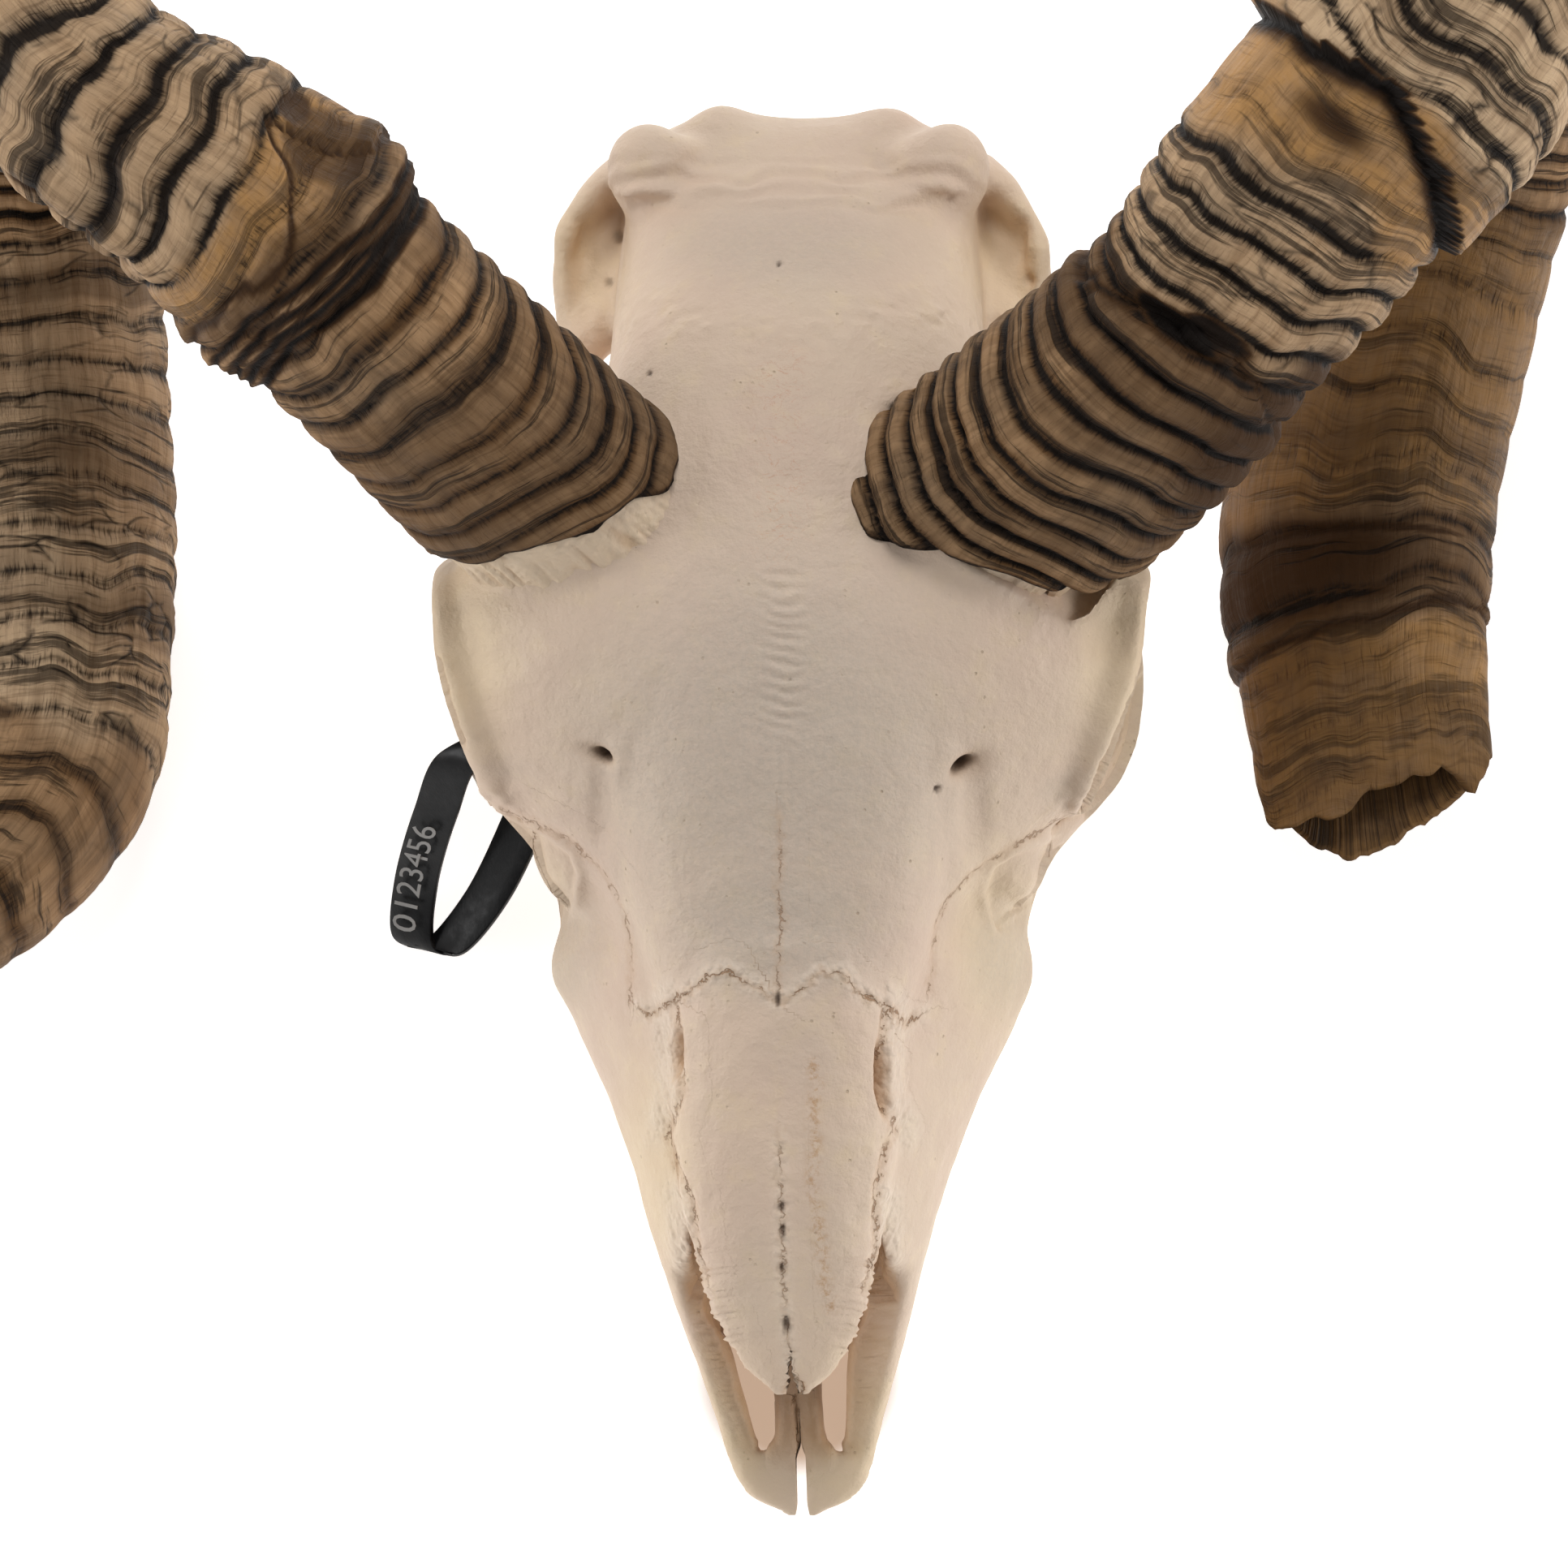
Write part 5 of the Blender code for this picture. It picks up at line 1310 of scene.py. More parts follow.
@dataclass
class Horn:
    """One horn: a wrapped grid along its route, with rings, fibres and worn layers."""

    side: Side
    route: tuple
    seed: int
    zones: tuple
    pitches: tuple
    ledges: tuple = ()
    hollows: tuple = ()
    seen_rim: tuple = ()
    worn_end: bool = False
    step: float = 0.95
    sides: int = 148
    ring_height: float = 2.4
    rim_reach: tuple = (-16.0, 12.0)
    rim_gap: float = 0.35
    rim_blend: float = 36.0
    root_reach: float = 60.0
    root_level: float = 70.0
    end_reach: float = 130.0
    folding: float = 0.76
    fold_reach: tuple = (62.0, 6.0)

    def spine(self) -> tuple[np.ndarray, np.ndarray, np.ndarray, np.ndarray, np.ndarray]:
        """Read the route at even steps.

        Returns:
            The run, middles with half sizes, directions along, breadth axes and thickness axes.
        """
        sign = self.side.value
        rows = [(sign * x, y, z, wide, thick) for x, y, z, wide, thick in self.route]
        fine = smooth_rows(rows, np.linspace(0, len(rows) - 1, 800))
        run = np.concatenate(([0.0], np.cumsum(np.linalg.norm(np.diff(fine[:, :3], axis=0), axis=1))))
        gap = self.step * 1.0
        stops = np.linspace(0.0, run[-1], int(run[-1] / gap) + 1)
        path = np.column_stack([np.interp(stops, run, fine[:, column]) for column in range(5)])
        along = np.gradient(path[:, :3], axis=0)
        along /= np.linalg.norm(along, axis=1)[:, None]
        wide = np.array((sign * HORN_BASE_WIDE[0], HORN_BASE_WIDE[1], HORN_BASE_WIDE[2]))
        breadths = np.empty_like(along)
        for index, way in enumerate(along):
            wide = wide - way * wide.dot(way)
            wide /= np.linalg.norm(wide)
            breadths[index] = wide
        return stops, path, along, breadths, np.cross(along, breadths)

    def surface(self, runs: np.ndarray, turns: np.ndarray, extra: np.ndarray | float = 0.0) -> np.ndarray:
        """Place points on the horn.

        Args:
            runs: How far along the horn each point is, in millimetres.
            turns: Each point's turn round the horn, in radians.
            extra: How far each stands off the plain form, in millimetres.

        Returns:
            The points in the skull's own frame.
        """
        stops, path, along, breadths, thicknesses = self.track
        cosine, sine = power(np.cos(turns), 0.9), power(np.sin(turns), 0.9)

        def read(table: np.ndarray) -> np.ndarray:
            """Read a table at the wanted runs."""
            return np.stack([np.interp(runs, stops, table[:, column]) for column in range(table.shape[1])], axis=-1)

        spine = read(path)
        past = np.minimum(runs, 0.0)[..., None] * along[0] + np.maximum(runs - stops[-1], 0.0)[..., None] * along[-1]
        x = cosine * (spine[..., 3] + extra)
        y = sine * (spine[..., 4] + extra)
        return spine[..., :3] + past + read(breadths) * x[..., None] + read(thicknesses) * y[..., None]

    def rim_runs(self, turns: np.ndarray, skull_tree: BVHTree) -> np.ndarray:
        """Find where each line along the horn, followed back to the base, meets the skull.

        Args:
            turns: The lines' turns round the horn, in even steps of a whole turn.
            skull_tree: The skull's surface.

        Returns:
            The run of each line's lower end.
        """
        runs = np.arange(self.rim_reach[1], self.rim_reach[0], -0.5)
        found = np.full(len(turns), self.rim_reach[0])
        for index, turn in enumerate(turns):
            for run, place in zip(runs, self.surface(runs, np.full(len(runs), turn)).tolist()):
                spot, normal, _, _ = skull_tree.find_nearest(Vector(place))
                if (Vector(place) - spot).dot(normal) < self.rim_gap:
                    found[index] = run
                    break
        self.root = found.copy()
        if self.seen_rim:
            (start, start_run), (end, end_run) = self.seen_rim[0], self.seen_rim[-1]
            angles = np.degrees(turns)
            first, last = (np.abs((angles - place + 180) % 360 - 180) for place in (start, end))
            inside = (angles >= start) & (angles <= end)
            nearest = np.where(first < last, start_run, end_run)
            wanted = np.where(inside, read_pairs(self.seen_rim, angles), nearest)
            share = np.where(inside, 1.0, 1 - ease(np.minimum(first, last), 0.0, 60.0))
            found = found + share * (wanted - found)
        wings = max(1, len(turns) // 50)
        ring = np.concatenate((found[-wings - 1:-1], found, found[1:wings + 1]))
        return np.convolve(ring, np.ones(2 * wings + 1) / (2 * wings + 1), mode="valid")

    def last_runs(self, turns: np.ndarray) -> np.ndarray:
        """Find where each line along the horn ends at its slanting worn end."""
        length = self.track[0][-1]
        runs = np.linspace(length - 120.0, length + 12.0, 264)
        grid, spread = np.meshgrid(runs, turns, indexing="ij")
        points = self.surface(grid, spread)
        gap = from_line(PhotoView().pixels(points.reshape(-1, 3)), WORN_END_LINE)[0].reshape(grid.shape)
        kept = gap * np.sign(gap[0].mean()) > 0
        ends = np.where(kept.all(axis=0), runs[-1], runs[np.argmin(kept, axis=0)])
        first = WORN_LIP[0][0]
        angles = (np.degrees(turns) - first) % 360 + first
        return np.where(angles < WORN_LIP[-1][0], np.minimum(ends, read_pairs(WORN_LIP, angles)), ends)

    def rings(self, runs: np.ndarray, turns: np.ndarray, edge: np.ndarray) -> tuple[np.ndarray, dict, np.ndarray]:
        """Work out the surface's relief.

        Args:
            runs: The run along the horn of each point.
            turns: The turn round the horn of each point.
            edge: The run of the rim below each point.

        Returns:
            The height of each point, in millimetres, the marks for the finish, and the count of rings so far.
        """
        plain = self.surface(runs, turns)
        length = self.track[0][-1]
        rolled = unrolled(turns, ROLL_RADIUS, 0.3 * runs)
        stops = np.linspace(-20.0, length + 5.0, 900)
        rates = 1 / read_pairs(self.pitches, stops)
        phase = np.interp(runs, stops, np.cumsum(rates) * (stops[1] - stops[0]))
        phase += 0.34 * drift(rolled, 13.0, self.seed) + 0.10 * drift(rolled, 5.5, self.seed + 1)
        phase += 0.26 * drift(plain, 21.0, self.seed + 2)
        part = phase - np.floor(phase)
        crest = 1 - np.abs(2 * part - 1) ** 2.6
        lean = np.sin(2 * math.pi * part)
        bold, pale, clean, deep = (np.zeros(runs.shape) for _ in range(4))
        for start, kind, strength, depth in self.zones:
            share = ease(runs + 6 * drift(plain, 14.0, self.seed + 9), start - 3, start + 3)
            bold = bold * (1 - share) + share * strength
            deep = deep * (1 - share) + share * depth
            pale = pale * (1 - share) + share * PALENESS.get(kind, 0.0)
            clean = clean * (1 - share) + share * (kind is Zone.WORN)
        uneven = np.clip(0.95 + 0.35 * drift(plain, 24.0, self.seed + 3), 0.45, 1.35)
        height = self.ring_height * bold * uneven * (crest - 0.62)
        small = runs / 2.4 + 0.9 * drift(rolled, 9.0, self.seed + 4) + 0.5 * drift(plain, 15.0, self.seed + 5)
        small = small - np.floor(small)
        height += 0.24 * (0.35 + 0.65 * bold) * ((4 * small * (1 - small)) ** 0.6 - 0.7) * (1 - clean)
        height += 0.40 * bold * drift(plain, 9.0, self.seed + 6) + 0.9 * drift(plain, 30.0, self.seed + 7)
        ribs = drift(unrolled(turns, 38.0, 0.05 * runs), 2.4, self.seed + 8)
        height += 0.16 * ribs + 0.3 * pale * drift(plain, 2.8, self.seed + 10)
        crest = 1 - (1 - crest) * np.clip(0.22 + bold * uneven, 0, 1)
        # Painted shadow, kept as the gap mark: at each ledge's foot and under its lip, and in the hollows that have a
        # dark value.
        dark = np.zeros(runs.shape)
        wave = drift(plain, 7.0, self.seed + 11) + 0.35 * drift(plain, 2.6, self.seed + 12)
        for ledge in self.ledges:
            gap = runs - ledge.edge(turns) + ledge.ragged * wave
            height += ledge.rise * within(gap, -ledge.width / 2, ledge.width / 2, ledge.fade / 5, ledge.fade)
            foot = bump(gap + np.sign(ledge.rise) * (ledge.width / 2 + 0.4), 1.1)
            height -= 0.8 * ledge.shadow * foot
            dark = np.maximum(dark, ledge.shadow * foot)
            if ledge.shade:
                dark = np.maximum(dark, 0.9 * ease(gap, -ledge.shade, 0.0) ** 1.5 * (gap < 0.6))
        for hollow in self.hollows:
            share = hollow.share(runs, turns)
            height += hollow.depth * share
            if hollow.depth:
                dark = np.maximum(dark, hollow.dark * ease(share, 0.25, 0.7))
            else:
                deep = np.clip(deep + hollow.dark * share, 0.0, 1.25)
        base = ease(runs - edge, 0.0, 2.6)
        height += (base - 1) * 1.2
        if not self.worn_end:
            height *= 0.12 + 0.88 * ease(length - runs, 0.0, 70.0)
        # Painted shade at the rim: the crest is lowered, which darkens the finish, within a few millimetres of it.
        crest = crest * (0.35 + 0.65 * base)
        marks = {"crest": crest, "lean": lean * bold, "pale": pale, "clean": clean, "gap": dark, "deep": deep}
        return height, marks, phase

    def build(self, name: str, material: Material, skull_tree: BVHTree, *nodes: str) -> Object:
        """Model the horn.

        Args:
            name: The piece's name.
            material: Its finish.
            skull_tree: The skull's surface, which the rim meets.
            nodes: The solids that it stands for.

        Returns:
            The finished piece.
        """
        self.track = self.spine()
        stops = self.track[0]
        length = stops[-1]
        columns = self.sides // 1
        bm, turns, share = wrapped_grid(columns, len(stops) - 1)
        runs = share * length
        self.turn_line = np.linspace(0, 2 * math.pi, columns + 1)
        if self.worn_end:
            turning = length - self.end_reach
            ends = np.interp(turns, self.turn_line, self.last_runs(self.turn_line))
            late = np.clip((runs - turning) / self.end_reach, 0, 1)
            runs = np.where(runs > turning, turning + late * (ends - turning), runs)
            runs += 2.2 * drift(unrolled(turns, 20.0, 0.0), 3.0, self.seed + 21) * ease(late, 0.9, 1.0)
        ring = unrolled(turns, 20.0, 0.0)
        rim = 0.9 * drift(ring, 6.0, self.seed + 20) + 0.7 * drift(ring, 2.6, self.seed + 22)
        self.rim = self.rim_runs(self.turn_line, skull_tree)
        rim = np.maximum(rim, 0.0) + np.interp(turns, self.turn_line, self.rim)
        runs = runs + rim * (1 - ease(share * length, 0, self.rim_blend))
        height, marks, phase = self.rings(runs, turns, rim)
        points = self.surface(runs, turns, height)
        if self.worn_end:
            middle = np.interp(runs, stops, self.track[1][:, 2])
            flat = self.folding * ease(runs, length - self.fold_reach[0], length - self.fold_reach[1])
            points[:, 2] = middle + (points[:, 2] - middle) * (1 - flat)
        rolled = bm.verts.layers.float_vector.new("rolled")
        straight = unrolled(turns, ROLL_RADIUS, ROLL_RING * phase) * MM
        for vert, place, spot in zip(bm.verts, points.tolist(), straight.tolist()):
            vert.co = place
            vert[rolled] = spot
        layers = tag_bmesh(bm, marks)
        bmesh.ops.remove_doubles(bm, verts=bm.verts, dist=SEAM_GAP)
        self.close_ends(bm, layers)
        bmesh.ops.recalc_face_normals(bm, faces=bm.faces)
        return settle_skull_part(name, bm, material, "horn", *nodes)

    def end_steps(self, tip: bool) -> tuple:
        """Give the size and the depth inwards, in millimetres, of each ring that closes an end."""
        if not tip:
            return (0.90, 0.4), (0.86, 4.0), (0.80, 9.0)
        if self.worn_end:
            return (0.93, 0.2), (0.86, 3.0), (0.80, 12.0), (0.70, 26.0), (0.45, 38.0)
        return (0.84, -0.7), (0.52, -1.5), (0.2, -1.9)

    def close_ends(self, bm: BMesh, layers: dict) -> None:
        """Turn the rims inwards and close them."""
        root = Vector(self.track[1][0, :3])
        groups = ([], [])
        for edge in [edge for edge in bm.edges if edge.is_boundary]:
            spot = edge.verts[0].co
            groups[0 if (spot - root).length < self.root_reach and spot.z > self.root_level else 1].append(edge)
        for tip, ring in enumerate(groups):
            if not ring:
                continue
            torn = tip and self.worn_end
            inward = Vector(-self.track[2][-1] if tip else self.track[2][0])
            start = {vert: vert.co.copy() for edge in ring for vert in edge.verts}
            middle = sum(start.values(), Vector()) / len(start)
            origins = start
            for size, depth in self.end_steps(bool(tip)):
                made = bmesh.ops.extrude_edge_only(bm, edges=ring)["geom"]
                ring = [item for item in made if isinstance(item, BMEdge) and item.is_boundary]
                placed = {}
                for vert in (item for item in made if isinstance(item, BMVert)):
                    for edge in vert.link_edges:
                        if edge.other_vert(vert) in origins:
                            placed[vert] = origins[edge.other_vert(vert)]
                for vert, place in placed.items():
                    vert.co = middle + (place - middle) * size + inward * depth
                    # The closing rings get a low crest and painted shade that deepens with their depth into the end.
                    vert[layers["crest"]] = 0.6 if depth <= 2 else 0.55 if torn else 0.25
                    vert[layers["gap"]] = min(1.0, max(0.0, depth) / (60 if torn else 12))
                origins = placed
            bmesh.ops.holes_fill(bm, edges=ring, sides=0)


def left_horn() -> Horn:
    """Describe the left horn, which is layered near its base and worn off to a hollow end."""
    return Horn(
        Side.LEFT, LEFT_HORN, 40,
        zones=(
            (-30.0, Zone.RINGED, 1.0, 0.45), (50.0, Zone.RINGED, 1.0, 0.75), (76.0, Zone.BLEACHED, 0.95, 0.0),
            (103.0, Zone.WORN, 0.12, 0.0), (121.0, Zone.SHEATH, 0.6, 0.0), (230.0, Zone.RINGED, 0.5, 0.3),
            (310.0, Zone.WORN, 0.22, 0.55), (385.0, Zone.RINGED, 0.4, 0.6), (410.0, Zone.WORN, 0.12, 0.65),
        ),
        pitches=((0.0, 7.0), (60.0, 7.6), (120.0, 9.0), (290.0, 9.0), (330.0, 14.0)),
        ledges=(
            Ledge(
                ((90, 60), (176, 60), (214, 64), (244, 70), (266, 71), (330, 57), (20, 56)), -1.6, 2.2, 2.0, 0.75, 40,
            ),
            Ledge(
                ((100, 122), (174, 120), (218, 121), (250, 123), (276, 119), (300, 114), (334, 107), (30, 112)),
                3.8, 1.2, 1.3, 1.0, 130, 6.5,
            ),
            Ledge(((44, 411), (136, 413), (200, 415), (344, 407), (18, 408)), -1.0, 1.6, 1.2, 0.6, 40),
        ),
        hollows=(
            # The first stain darkens the horn's lower flank; the next hollows are painted dark inside.
            Hollow(318, 52.0, 15.0, 24.0, 0.0, 0.8), Hollow(240, 69.5, 12.0, 3.0, -3.2, 1.0),
            Hollow(258, 73.0, 8.0, 2.4, -1.6, 0.8), Hollow(220, 78.0, 9.0, 7.0, 1.2),
            Hollow(250, 110.0, 22.0, 12.0, -0.9), Hollow(241, 113.0, 10.0, 2.6, 0.0, 1.25),
            Hollow(30, 425.0, 16.0, 8.0, -1.8, 0.1), Hollow(350, 418.0, 9.0, 5.0, 1.6),
            Hollow(88, 400.0, 24.0, 9.0, 0.0, 1.1), Hollow(6, 418.0, 14.0, 8.0, 0.0, -0.8),
            Hollow(60, 392.0, 30.0, 1.5, -0.6, 0.55), Hollow(84, 407.0, 22.0, 1.5, -0.8, 0.8),
        ),
        seen_rim=(
            (182, -9.0), (196, -11.0), (216, -10.5), (230, -7.0), (240, -2.3), (258, 2.0), (270, 5.5), (294, 6.4),
            (308, 9.0), (316, 12.0),
        ),
        worn_end=True,
    )


def right_horn() -> Horn:
    """Describe the right horn, which is whole."""
    return Horn(
        Side.RIGHT, RIGHT_HORN, 80,
        zones=(
            (-30.0, Zone.RINGED, 0.5, 0.65), (50.0, Zone.RINGED, 0.5, 0.3), (88.0, Zone.WORN, 0.35, 0.25),
            (100.0, Zone.BLEACHED, 0.75, 0.1), (150.0, Zone.BLEACHED, 0.8, 0.0), (200.0, Zone.RINGED, 0.7, 0.1),
            (320.0, Zone.BLEACHED, 0.35, 0.1), (388.0, Zone.SHEATH, 0.35, -0.1), (436.0, Zone.RINGED, 0.3, 0.3),
            (500.0, Zone.WORN, 0.15, 0.0),
        ),
        pitches=((0.0, 8.4), (60.0, 8.6), (120.0, 9.5), (300.0, 9.0), (420.0, 11.0)),
        ledges=(
            Ledge(((20, 66), (58, 70.5), (86, 74), (118, 73), (166, 74), (250, 72)), 1.4, 1.2, 0.8, 1.0, 30),
            Ledge(((20, 69), (54, 73), (86, 76.6), (118, 75.6), (160, 75.6), (250, 74)), 0.8, 1.0, 0.6, 1.0, 18),
            Ledge(((20, 76), (52, 80), (86, 83), (118, 81.5), (160, 80), (250, 79)), 0.8, 1.0, 0.6, 0.9, 18),
            Ledge(((20, 71), (52, 76), (86, 79.5), (118, 78.5), (160, 77), (250, 76)), 1.2, 1.2, 0.8, 0.9, 26),
            Ledge(((20, 84), (60, 88), (120, 88), (164, 101), (190, 86), (250, 80)), 1.5, 1.8, 2.2, 0.6, 40),
        ),
        hollows=(
            Hollow(176, 92.0, 13.0, 8.0, -4.2, 0.35), Hollow(186, 99.0, 7.0, 3.0, -1.2, 0.45),
            Hollow(46, 122.0, 5.5, 15.0, -3.0, 0.62), Hollow(66, 119.0, 4.0, 16.0, 1.8),
            Hollow(100, 99.0, 15.0, 6.0, 1.4), Hollow(130, 60.0, 12.0, 5.0, 1.2),
        ),
        seen_rim=(
            (46, 11.0), (52, 10.9), (68, 8.8), (86, 9.8), (100, 6.7), (112, 3.8), (138, 3.5), (156, -3.8),
            (172, -5.5), (182, -4.0),
        ),
    )


@dataclass
class HornCore:
    """The bony root inside a horn's rim, with lengthwise grooves."""

    horn: Horn
    inset: float = 2.0
    taper: float = 4.5
    overlap: float = 9.0
    depth: float = 5.0
    rows: int = 40
    columns: int = 260

    def build(self, name: str, material: Material) -> Object:
        """Model the root as a short wrapped and closed tube."""
        bm, turns, share = wrapped_grid(self.columns, self.rows)
        rim = np.interp(turns, self.horn.turn_line, self.horn.rim)
        low = np.interp(turns, self.horn.turn_line, np.minimum(self.horn.root, self.horn.rim)) - self.depth
        runs = low + share * (rim + self.overlap - low)
        rolled = unrolled(turns, ROLL_RADIUS, 0.16 * runs)
        groove = drift(rolled, 1.1, self.horn.seed + 30) + 0.5 * drift(rolled, 2.5, self.horn.seed + 31)
        inset = self.inset + self.taper * ease(runs - rim, -1.0, 6.0)
        for vert, place in zip(bm.verts, self.horn.surface(runs, turns, 0.55 * groove - inset).tolist()):
            vert.co = place
        even = np.ones(len(runs))
        # Orange in the grooves' floors: painted shade.
        inner_tint_and_shade = 0.35 * ease(-groove, 0.2, 0.9)
        tag_bmesh(bm, {"warm": 0.55 * even, "inner_tint_and_shade": inner_tint_and_shade, "grain": 0.25 * even, "seam": NO_SEAM * even})
        bmesh.ops.remove_doubles(bm, verts=bm.verts, dist=SEAM_GAP)
        bmesh.ops.holes_fill(bm, edges=[edge for edge in bm.edges if edge.is_boundary], sides=0)
        bmesh.ops.recalc_face_normals(bm, faces=bm.faces)
        return settle_skull_part(name, bm, material, "bone")


STRAP_ROUTE = (
    (54.0, -3.0, 58.0),
    (70.0, -8.5, 53.5),
    (77.0, -17.0, 38.0),
    (83.0, -28.0, 18.5),
    (84.0, -38.0, 8.8),
    (76.5, -39.5, 9.0),
    (66.0, -29.5, 18.0),
    (57.0, -15.5, 32.0),
    (52.0, -6.5, 45.0),
)


@dataclass
class StrapTag:
    """The flat strap looped round the right orbit's lower bar, with plain digits."""

    width: float = 11.0
    thickness: float = 1.4
    bevel: float = 0.28
    axis: tuple = (-0.85, 0.30, -0.43)
    stations: int = 220
    digits: str = "0123456"
    digit_height: float = 6.2
    digit_band: tuple = (1000, 1150)

    def across(self) -> np.ndarray:
        """Give the direction across the strap."""
        return np.array(self.axis) / np.linalg.norm(self.axis)

    def path(self) -> tuple[np.ndarray, np.ndarray, np.ndarray]:
        """Give the loop's middle line, its direction and its outward side."""
        rows = [(-x, y, z) for x, y, z in STRAP_ROUTE]
        rows = rows[-2:] + rows + rows[:3]
        path = smooth_rows(rows, np.linspace(2, len(rows) - 3, self.stations + 1)[:-1])
        axis = self.across()
        along = np.roll(path, -1, axis=0) - np.roll(path, 1, axis=0)
        along -= axis * (along @ axis)[:, None]
        along /= np.linalg.norm(along, axis=1)[:, None]
        return path, along, np.cross(axis, along)

    def build(self, material: Material) -> Object:
        """Model the band: one ring of a closed strip, thickened and bevelled."""
        path, _, outward = self.path()
        bm = bmesh.new()
        bmesh.ops.create_grid(bm, x_segments=self.stations, y_segments=3, size=1.0)
        grid = np.array([vert.co[:2] for vert in bm.verts])
        station = np.rint((grid[:, 0] + 1) / 2 * self.stations).astype(int) % self.stations
        shift = grid[:, 1] * self.width / 2
        places = path[station] + self.across() * shift[:, None] - outward[station] * (self.thickness / 2)
        for vert, place in zip(bm.verts, places.tolist()):
            vert.co = place
        bmesh.ops.remove_doubles(bm, verts=bm.verts, dist=0.01)
        bm.normal_update()
        bm.faces.ensure_lookup_table()
        face = bm.faces[0]
        middle = face.calc_center_median()
        nearest = np.argmin(np.linalg.norm(path - np.array(middle), axis=1))
        if face.normal.dot(Vector(outward[nearest])) > 0:
            bmesh.ops.reverse_faces(bm, faces=bm.faces)
        bmesh.ops.solidify(bm, geom=bm.faces, thickness=-self.thickness)
        bmesh.ops.recalc_face_normals(bm, faces=bm.faces)
        sharp = [edge for edge in bm.edges if edge.calc_face_angle(0.0) > math.radians(60)]
        bmesh.ops.bevel(bm, geom=sharp, offset=self.bevel, segments=2, profile=0.5, affect="EDGES", material=-1)
        return settle_skull_part("strap_band", bm, material, "strap", "tag_strap")

    def letter(self, view: PhotoView, material: Material) -> Object:
        """Lay plain counting digits along the front strand.

        Args:
            view: The viewpoint, which the digits' side faces.
            material: Their finish.

        Returns:
            The finished digits.
        """
        path, along, outward = self.path()
        text = bpy.data.curves.new("digits", "FONT")
        text.body = self.digits
        text.size = self.digit_height * 1.45
        text.extrude = 0.04
        text.align_x = "CENTER"
        text.align_y = "CENTER"
        text.resolution_u = 3
        made = bpy.data.objects.new("digits", text)
        bpy.context.scene.collection.objects.link(made)
        graph = bpy.context.evaluated_depsgraph_get()
        mesh = bpy.data.meshes.new_from_object(made.evaluated_get(graph))
        bpy.data.objects.remove(made)
        bm = bmesh.new()
        bm.from_mesh(mesh)
        bpy.data.meshes.remove(mesh)
        bmesh.ops.subdivide_edges(bm, edges=bm.edges, cuts=1)
        sight = view.axes()[:, 2]
        run = np.concatenate(([0.0], np.cumsum(np.linalg.norm(np.diff(path, axis=0), axis=1))))
        pixels = view.pixels(path)
        low_edge, high_edge = self.digit_band
        lettered = (pixels[:, 1] > low_edge) & (pixels[:, 1] < high_edge) & (outward @ sight > 0)
        middle = run[lettered].mean()
        way = 1.0 if (view.pixels(path + along)[:, 1] - pixels[:, 1])[lettered].mean() < 0 else -1.0
        cross = self.across() * way
        for vert in bm.verts:
            place = middle + way * vert.co.x
            station = np.interp(place, run, np.arange(len(run)))
            low = int(station)
            high = min(low + 1, len(path) - 1)
            part = station - low
            spot = path[low] * (1 - part) + path[high] * part
            out = outward[low] * (1 - part) + outward[high] * part
            lift = self.thickness / 2 + 0.03 + vert.co.z
            vert.co = spot - cross * vert.co.y + out * lift
        bmesh.ops.recalc_face_normals(bm, faces=bm.faces)
        return settle_skull_part("strap_digits", bm, material, "strap")


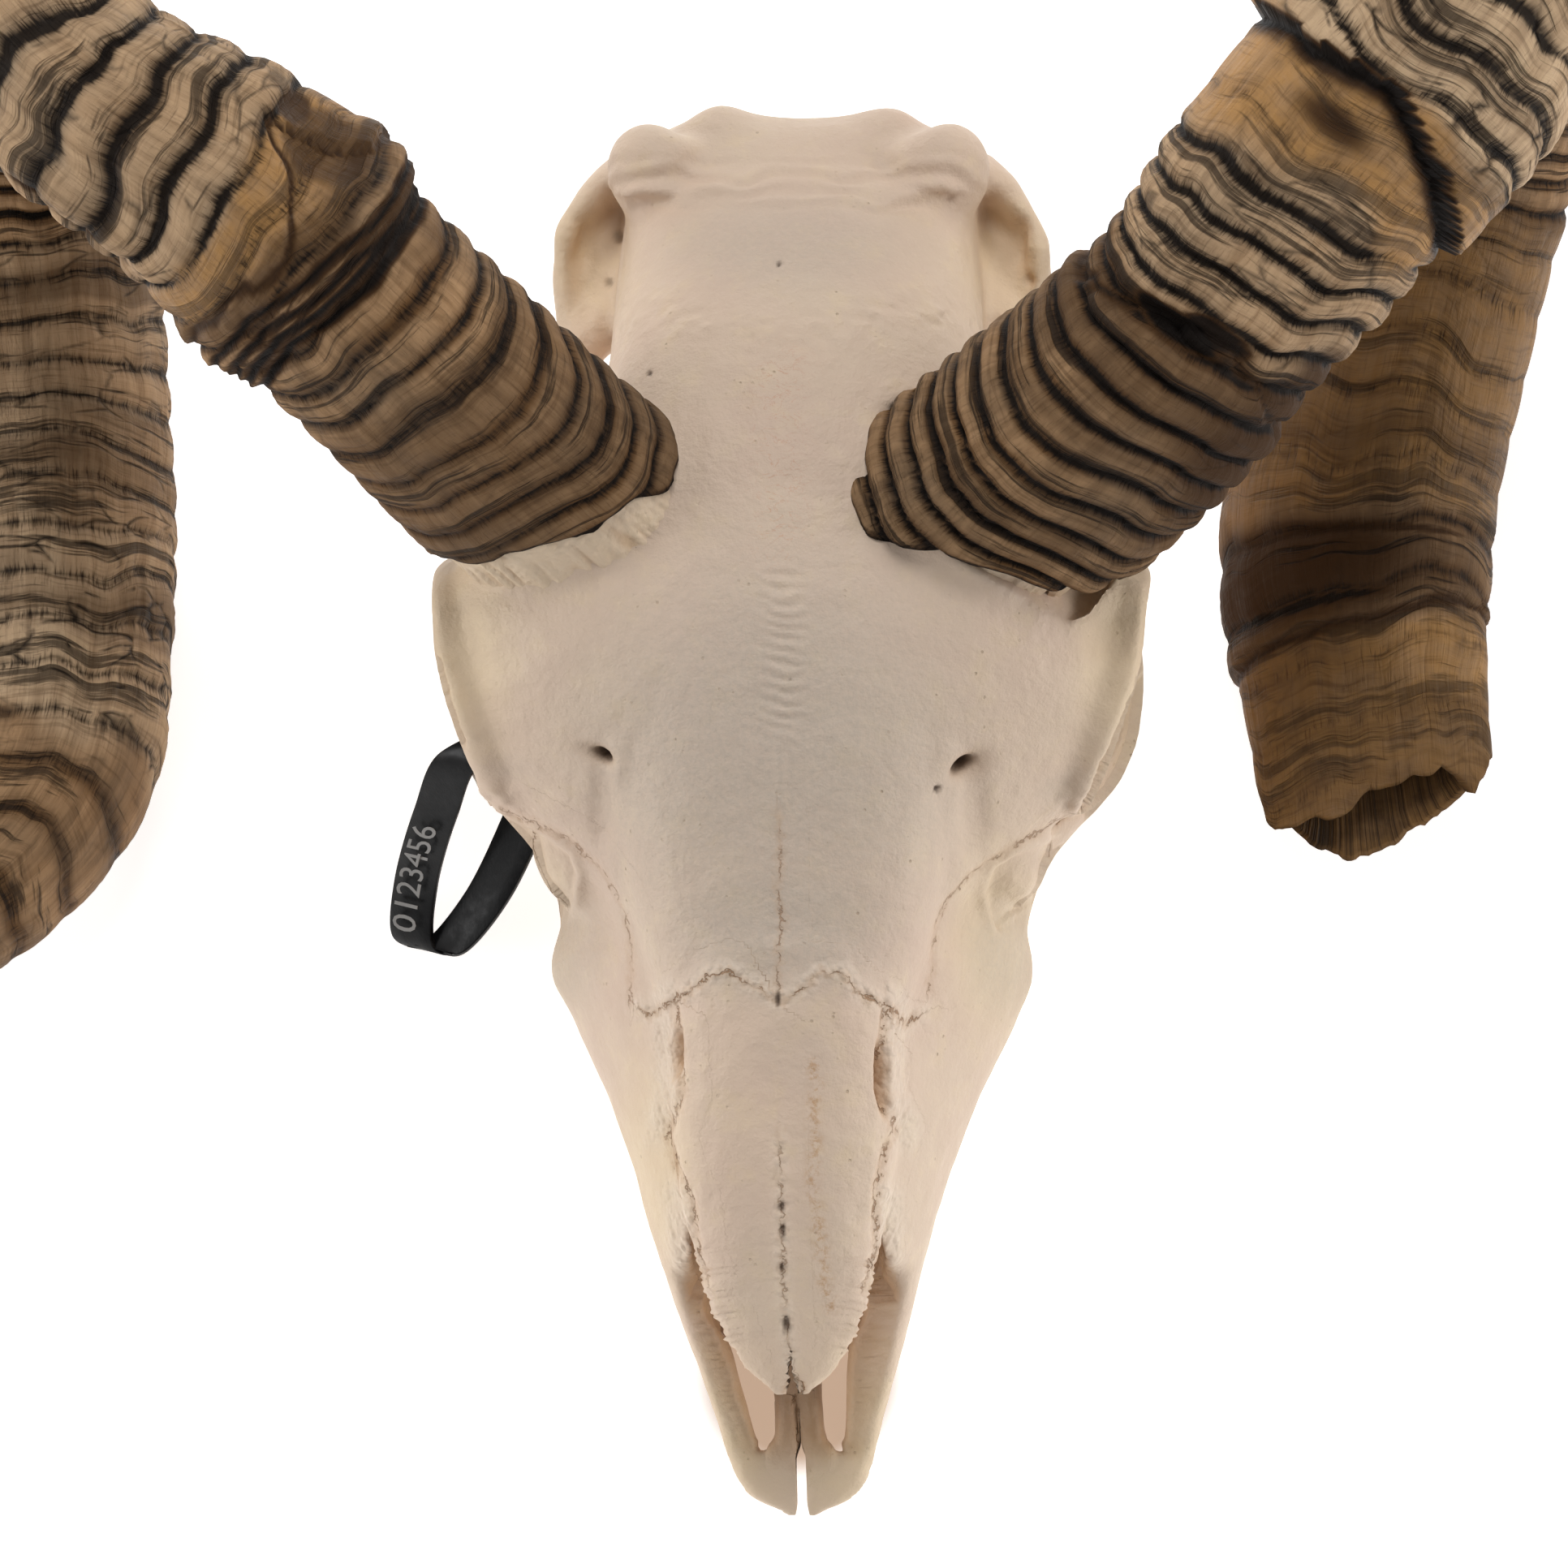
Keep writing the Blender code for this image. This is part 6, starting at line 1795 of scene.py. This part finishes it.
@dataclass
class Studio:
    """The pale floor and the soft light, which comes mostly from both sides."""

    view: PhotoView
    floor_size: float = 30.0
    floor_tone: tuple = (0.92, 0.92, 0.92)
    floor_glow: float = 0.68
    # A shadow painted on the floor below the snout: its middle and half sizes in metres, its colour and its glow.
    shade_spot: tuple = (0.0345, -0.1435)
    shade_size: tuple = (0.021, 0.0215)
    shade_tone: tuple = (0.25, 0.19, 0.15)
    shade_glow: tuple = (0.40, 0.29, 0.21)
    sky_strength: float = 0.25
    lamps: tuple = (
        ("left_lamp", (-2.0, -0.2, 0.75), 1.0, 20.5),
        ("right_lamp", (2.0, -0.3, 0.75), 1.0, 18.0),
        ("top_lamp", (0.1, 0.9, 2.2), 0.8, 18.5),
        ("rear_lamp", (0.0, 2.0, 1.7), 1.2, 15.0),
    )

    def lay_floor(self) -> None:
        """Make the floor, which glows a little, as a lit table does, and is painted with a dimmer, warmer shadow below
        the snout.
        """
        bm = bmesh.new()
        bmesh.ops.create_grid(bm, x_segments=8, y_segments=8, size=self.floor_size / 2)
        floor = as_piece("floor", bm)
        material, sheet, shader = new_material("pale_floor", 0.8, 0.2)
        where = sheet.add("TexCoord").outputs["Object"]
        wide, deep = self.shade_size
        moved = (-self.shade_spot[0] / wide, -self.shade_spot[1] / deep, 0.0)
        away = sheet.add("VectorMath", {0: sheet.stretch(where, (1 / wide, 1 / deep, 0.0), moved)}, operation="LENGTH")
        shaded = sheet.range(away.outputs["Value"], 0.75, 1.1, 1.0, 0.0)
        tone = sheet.mix(shaded, self.floor_tone, self.shade_tone)
        glow = sheet.mix(shaded, (self.floor_glow,) * 3, self.shade_glow)
        sheet.feed(shader, {"Base Color": tone, "Emission Color": glow, "Emission Strength": 1.0})
        floor.data.materials.append(material)

    def add_lamp(self, name: str, place: tuple, size: float, energy: float) -> None:
        """Hang one soft square lamp that points at the brow."""
        lamp = bpy.data.lights.new(name, "AREA")
        lamp.size = size
        lamp.energy = energy
        holder = bpy.data.objects.new(name, lamp)
        bpy.context.scene.collection.objects.link(holder)
        holder.location = place
        aim = Vector(np.array(self.view.target) * MM) - Vector(place)
        holder.rotation_euler = aim.to_track_quat("-Z", "Y").to_euler()

    def light(self) -> None:
        """Set the sky and the lamps."""
        world = bpy.data.worlds.new("pale_sky")
        bpy.context.scene.world = world
        world.use_nodes = True
        back = world.node_tree.nodes["Background"]
        back.inputs[0].default_value = (1.0, 1.0, 1.0, 1.0)
        back.inputs[1].default_value = self.sky_strength
        for name, place, size, energy in self.lamps:
            self.add_lamp(name, place, size, energy)
        bpy.context.scene.view_settings.view_transform = "Standard"


def main() -> None:
    """Build the dressed skull, piece by piece."""
    logging.basicConfig(level=logging.INFO, format="%(name)s: %(message)s")
    view = PhotoView()
    build_shared_effects()
    bone = BoneFinish().make()
    horn = HornFinish().make()
    strap = StrapFinish().make()
    skull = Skull(view)
    skull.sculpt()
    skull_tree = skull.tree()
    skull.part(bone)
    left, right = left_horn(), right_horn()
    left.build("horn_left_sheath", horn, skull_tree, "horn_left")
    right.build("horn_right_sheath", horn, skull_tree, "horn_right")
    HornCore(left, inset=4.5).build("horn_core_left", bone)
    HornCore(right).build("horn_core_right", bone)
    tag_strap = StrapTag()
    tag_strap.build(strap)
    tag_strap.letter(view, PlainFinish("engraved_grey", (0.30, 0.29, 0.28), 0.6).make())
    studio = Studio(view)
    studio.lay_floor()
    studio.light()
    view.place()


if __name__ == "__main__":
    main()
